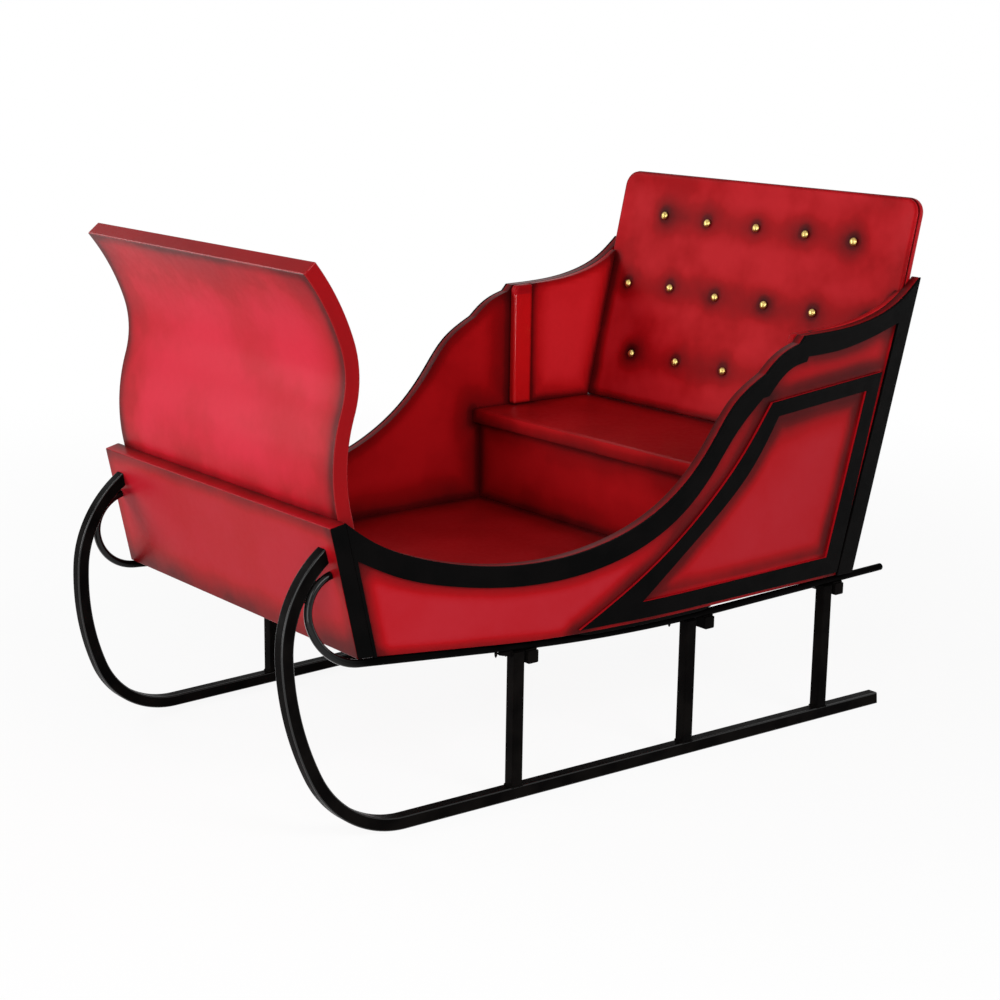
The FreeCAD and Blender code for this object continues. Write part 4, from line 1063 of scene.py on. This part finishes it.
def scatter(name, shape, spots, material, turn=(0, 0, 0), size=1.0, vary=0.0, seed=1):
    """Copies of a small mesh on points, with a little change of size and tilt from a fixed seed."""
    cloud = bpy.data.meshes.new(name + "_points")
    cloud.from_pydata([tuple(Vector(q) * MM) for q in spots], [], [])
    carrier = link(cloud, name + "_carrier")
    tree = bpy.data.node_groups.new(name, "GeometryNodeTree")
    tree.interface.new_socket(name="Geometry", in_out="INPUT", socket_type="NodeSocketGeometry")
    wanted = {}
    for label, kind, value in (("Size", "NodeSocketFloat", size), ("Variation", "NodeSocketFloat", vary),
            ("Seed", "NodeSocketInt", seed)):
        socket = tree.interface.new_socket(name=label, in_out="INPUT", socket_type=kind)
        wanted[socket.identifier] = value
    tree.interface.new_socket(name="Geometry", in_out="OUTPUT", socket_type="NodeSocketGeometry")
    given = node(tree, "NodeGroupInput").outputs
    source = node(tree, "GeometryNodeObjectInfo", {"Object": shape}).outputs["Geometry"]
    chance = node(tree, RANDOM, {"Seed": given["Seed"]}, data_type="FLOAT")
    chance = node(tree, MATH, (chance, 0.5), operation="SUBTRACT")
    width = node(tree, MATH, (chance, given["Variation"], given["Size"]), operation="MULTIPLY_ADD")
    tilt = node(tree, RANDOM, {"Seed": given["Seed"]}, data_type="FLOAT_VECTOR")
    tilt = node(tree, VECTOR, (tilt, (0.5, 0.5, 0.5)), operation="SUBTRACT")
    tilt = node(tree, VECTOR, {0: tilt, "Scale": given["Variation"]}, operation="SCALE")
    tilt = node(tree, VECTOR, (tilt, turn), operation="ADD")
    put = node(tree, "GeometryNodeInstanceOnPoints", {"Points": given["Geometry"], "Instance": source,
            "Rotation": tilt, "Scale": width})
    real = node(tree, "GeometryNodeRealizeInstances", (put,))
    painted = node(tree, "GeometryNodeSetMaterial", {"Geometry": real, "Material": material})
    node(tree, "NodeGroupOutput", {0: painted})
    mod = carrier.modifiers.new(name, "NODES")
    mod.node_group = tree
    for key, value in wanted.items():
        mod[key] = value
    bpy.context.view_layer.update()
    made = bpy.data.meshes.new_from_object(carrier.evaluated_get(bpy.context.evaluated_depsgraph_get()))
    done = link(made, name)
    carrier.modifiers.remove(mod)
    bpy.data.objects.remove(carrier)
    bpy.data.objects.remove(shape)
    done.data.materials.clear()
    return done


def turned(name, profile, around=20):
    """Small round shape from radius and height pairs, open ends closed."""
    bm = bmesh.new()
    rings = []
    for r, high in profile:
        turns = [2 * pi * i / around for i in range(1 if r == 0 else around)]
        rings.append([bm.verts.new((cos(t) * r * MM, sin(t) * r * MM, high * MM)) for t in turns])
    for a, b in zip(rings, rings[1:]):
        for i in range(around):
            j = (i + 1) % around
            if len(a) == 1:
                bm.faces.new((a[0], b[j], b[i]))
            elif len(b) == 1:
                bm.faces.new((a[i], a[j], b[0]))
            else:
                bm.faces.new((a[i], a[j], b[j], b[i]))
    for end in (rings[0], rings[-1]):
        if len(end) > 1:
            bm.faces.new(end)
    bmesh.ops.recalc_face_normals(bm, faces=bm.faces[:])
    smooth(bm)
    return made_of(bm, name)


dome = turned("stud_dome", [(8.5, -2.5), (10.8, 0.0), (11.0, 1.2), (10.3, 3.4), (8.3, 5.5), (5.3, 7.0), (2.2, 7.7),
        (0.0, 7.8)])
studs = scatter("brass_studs", dome, [on_pad(y, h, 4.2) for y, h in BUTTONS], BRASS,
        turn=(0, rad(90) - BACK_LEAN, 0), size=1.1, vary=0.05, seed=4)
give(studs, "red_upholstery", BRASS)

# Welds: ripples round the post feet, under the rods and where the rods end on the runners
ripples = []
for place, post_x, bar_x in PLACES:
    for hand in (1, -1):
        foot_spot, turn = on_runner(post_x, TUBE + 0.4, hand)
        for a, b in zip(square, square[1:] + square[:1]):
            n = max(1, int((b - a).length / 3.4))
            ripples += [tuple(foot_spot + turn @ (a + (b - a) * i / n)) for i in range(n)]
        head_spot = on_runner(post_x, under_rods(post_x) - 1.2, hand)[0]
        ripples += [tuple(head_spot + turn @ Vector((s * TUBE / 2, i * 2.2, 0))) for s in (-1, 1) for i in range(-4, 5)]
    for hand in (1, -1):
        side_y = rod_place((bar_x, 0, pivot_z), hand)[1]
        ripples += [(bar_x + i * 3.6, side_y + s * 5.5, under_rods(bar_x) + 1.2) for i in range(-4, 5) for s in (-1, 1)]
for hand, word in HANDS:
    tree = BVHTree.FromObject(bpy.data.objects["runner_tube_" + word], bpy.context.evaluated_depsgraph_get())
    for x, z, way in [q for q in rod_line if q[1] > 480]:
        centre = Vector(rod_place((x, 0, z), hand))
        spot, normal, face_index, gap = tree.find_nearest(centre * MM)
        if gap / MM < ROD_R + 3:
            spot = spot / MM
            for k in range(-1, 2):
                ripples.append(tuple(spot + (centre - spot) * 0.12 + Vector((0, k * 3, 0))))
# Gusset of weld metal between the front post and the rod
gusset_x = PLACES[0][1] + TUBE / 2
for hand in (1, -1):
    side_y = on_runner(PLACES[0][1], 0, hand)[0].y
    ripples += [(gusset_x + i * 3.6, side_y + k * 3.2, rod_under(gusset_x) - 1 - j * 2.2)
            for i in range(11) for j in range(int((11 - i) * 0.55) + 1) for k in (-1, 0, 1)]
bead = turned("weld_ripple", [(0.0, -2.6), (2.0, -1.8), (3.0, 0.0), (2.0, 1.8), (0.0, 2.6)], 8)
welds = scatter("weld_ripples", bead, ripples, STEEL, vary=0.5, seed=7)
give(welds, "black_steel", STEEL)

# Screw tips standing out below the rods beside the posts
tips = []
for hand in (1, -1):
    for x, lift in ((429, 1), (-114, 7)):
        q = rod_place((x, 0, rod_under(x, ROD_R)), hand)
        tips.append((q[0], q[1], q[2] - ROD_R + lift))
spike = turned("screw_tip", [(3.6, 1.5), (3.6, -4.0), (3.0, -10.0), (0.0, -15.0)], 10)
screws = scatter("screw_tips", spike, tips, STEEL, vary=0.12, seed=3)
give(screws, "black_steel", STEEL)

# Floor and light
bm = bmesh.new()
bmesh.ops.create_grid(bm, x_segments=1, y_segments=1, size=30)
ground = made_of(bm, "ground")


def seen_by_eye(tree, rays):
    """1 for rays from the camera, through glass or off a mirror, else 0."""
    seen = rays["Is Camera Ray"]
    for kind in ("Is Transmission Ray", "Is Glossy Ray"):
        seen = node(tree, MATH, (seen, rays[kind]), operation="MAXIMUM")
    return seen


# Painted studio floor, rolled matt: even white to the eye, and a dimmer light on the object's underside
floor_mat, tree, where = begin("pale_studio_floor")
patch = node(tree, NOISE, {"Vector": where, "Scale": patches(2500)})
pale = node(tree, MIX, {0: patch, 6: lin("#d8d8d8"), 7: lin("#d2d2d2")}, data_type="RGBA")
paint = node(tree, SHADER, {"Base Color": pale, "Roughness": 0.9, "Specular IOR Level": 0.1})
rays = node(tree, "ShaderNodeLightPath").outputs
away = node(tree, VECTOR, (where,), operation="LENGTH")
level, share = [node(tree, SPAN, (away, 1.5, 5, low, 1), **SOFT) for low in (0.91, 0.86)]
strength = node(tree, MATH, (seen_by_eye(tree, rays), level), operation="MULTIPLY")
glow = node(tree, "ShaderNodeEmission", {"Strength": strength})
black = node(tree, "ShaderNodeBsdfDiffuse", {"Color": (0, 0, 0, 1)})
dark = node(tree, MATH, (rays["Is Camera Ray"], share), operation="MULTIPLY")
dim = node(tree, "ShaderNodeMixShader", (dark, paint, black))
node(tree, OUTPUT, {"Surface": node(tree, "ShaderNodeAddShader", (dim, glow))})
ground.data.materials.append(floor_mat)

world = bpy.data.worlds.new("studio")
bpy.context.scene.world = world
world.use_nodes = True
tree = world.node_tree
seen = seen_by_eye(tree, node(tree, "ShaderNodeLightPath").outputs)
sky = node(tree, MIX, {0: seen, 6: (AMBIENT, AMBIENT, AMBIENT, 1), 7: (1, 1, 1, 1)}, data_type="RGBA")
tree.links.new(sky.outputs[2], tree.nodes["Background"].inputs["Color"])
tree.nodes["Background"].inputs["Strength"].default_value = 1.0

# Soft boxes 4.6 m from the middle: azimuth, height in metres, watts
for name, azimuth, high, watts in (("front_right_low", -35, 1.1, 84), ("front_right_high", -60, 3.0, 56),
        ("front_left_low", 40, 0.95, 64), ("front_left_high", 40, 3.0, 57),
        ("left_high", 90, 3.0, 107), ("rear_low", 160, 1.1, 36)):
    lamp = bpy.data.lights.new(name, "AREA")
    lamp.shape = "RECTANGLE"
    lamp.size, lamp.size_y = 2.2, 1.8
    lamp.energy = watts
    box = link(lamp, name)
    place = Vector((4.6 * cos(rad(azimuth)), 4.6 * sin(rad(azimuth)), high))
    box.location = place
    box.rotation_euler = (Vector((0, 0, 0.75)) - place).to_track_quat("-Z", "Y").to_euler()
    box.visible_camera = False

# Camera where the photograph was taken from, in metres
EYE = Vector((3.26134, 4.05433, 1.83540))
YAW, PITCH, ROLL = rad(-128.934), rad(13.509), rad(0.899)
ahead = Vector((cos(YAW) * cos(PITCH), sin(YAW) * cos(PITCH), -sin(PITCH)))
flat_right = Vector((sin(YAW), -cos(YAW), 0))
flat_up = flat_right.cross(ahead)
right = flat_right * cos(ROLL) + flat_up * sin(ROLL)
up = flat_up * cos(ROLL) - flat_right * sin(ROLL)
lens = bpy.data.cameras.new("camera")
lens.lens = 71.67
lens.sensor_width = 36
lens.clip_end = 200
camera = link(lens, "camera")
camera.matrix_world = Matrix(((right.x, up.x, -ahead.x, EYE.x), (right.y, up.y, -ahead.y, EYE.y),
        (right.z, up.z, -ahead.z, EYE.z), (0, 0, 0, 1)))
bpy.context.scene.camera = camera
bpy.context.scene.view_settings.view_transform = "Standard"
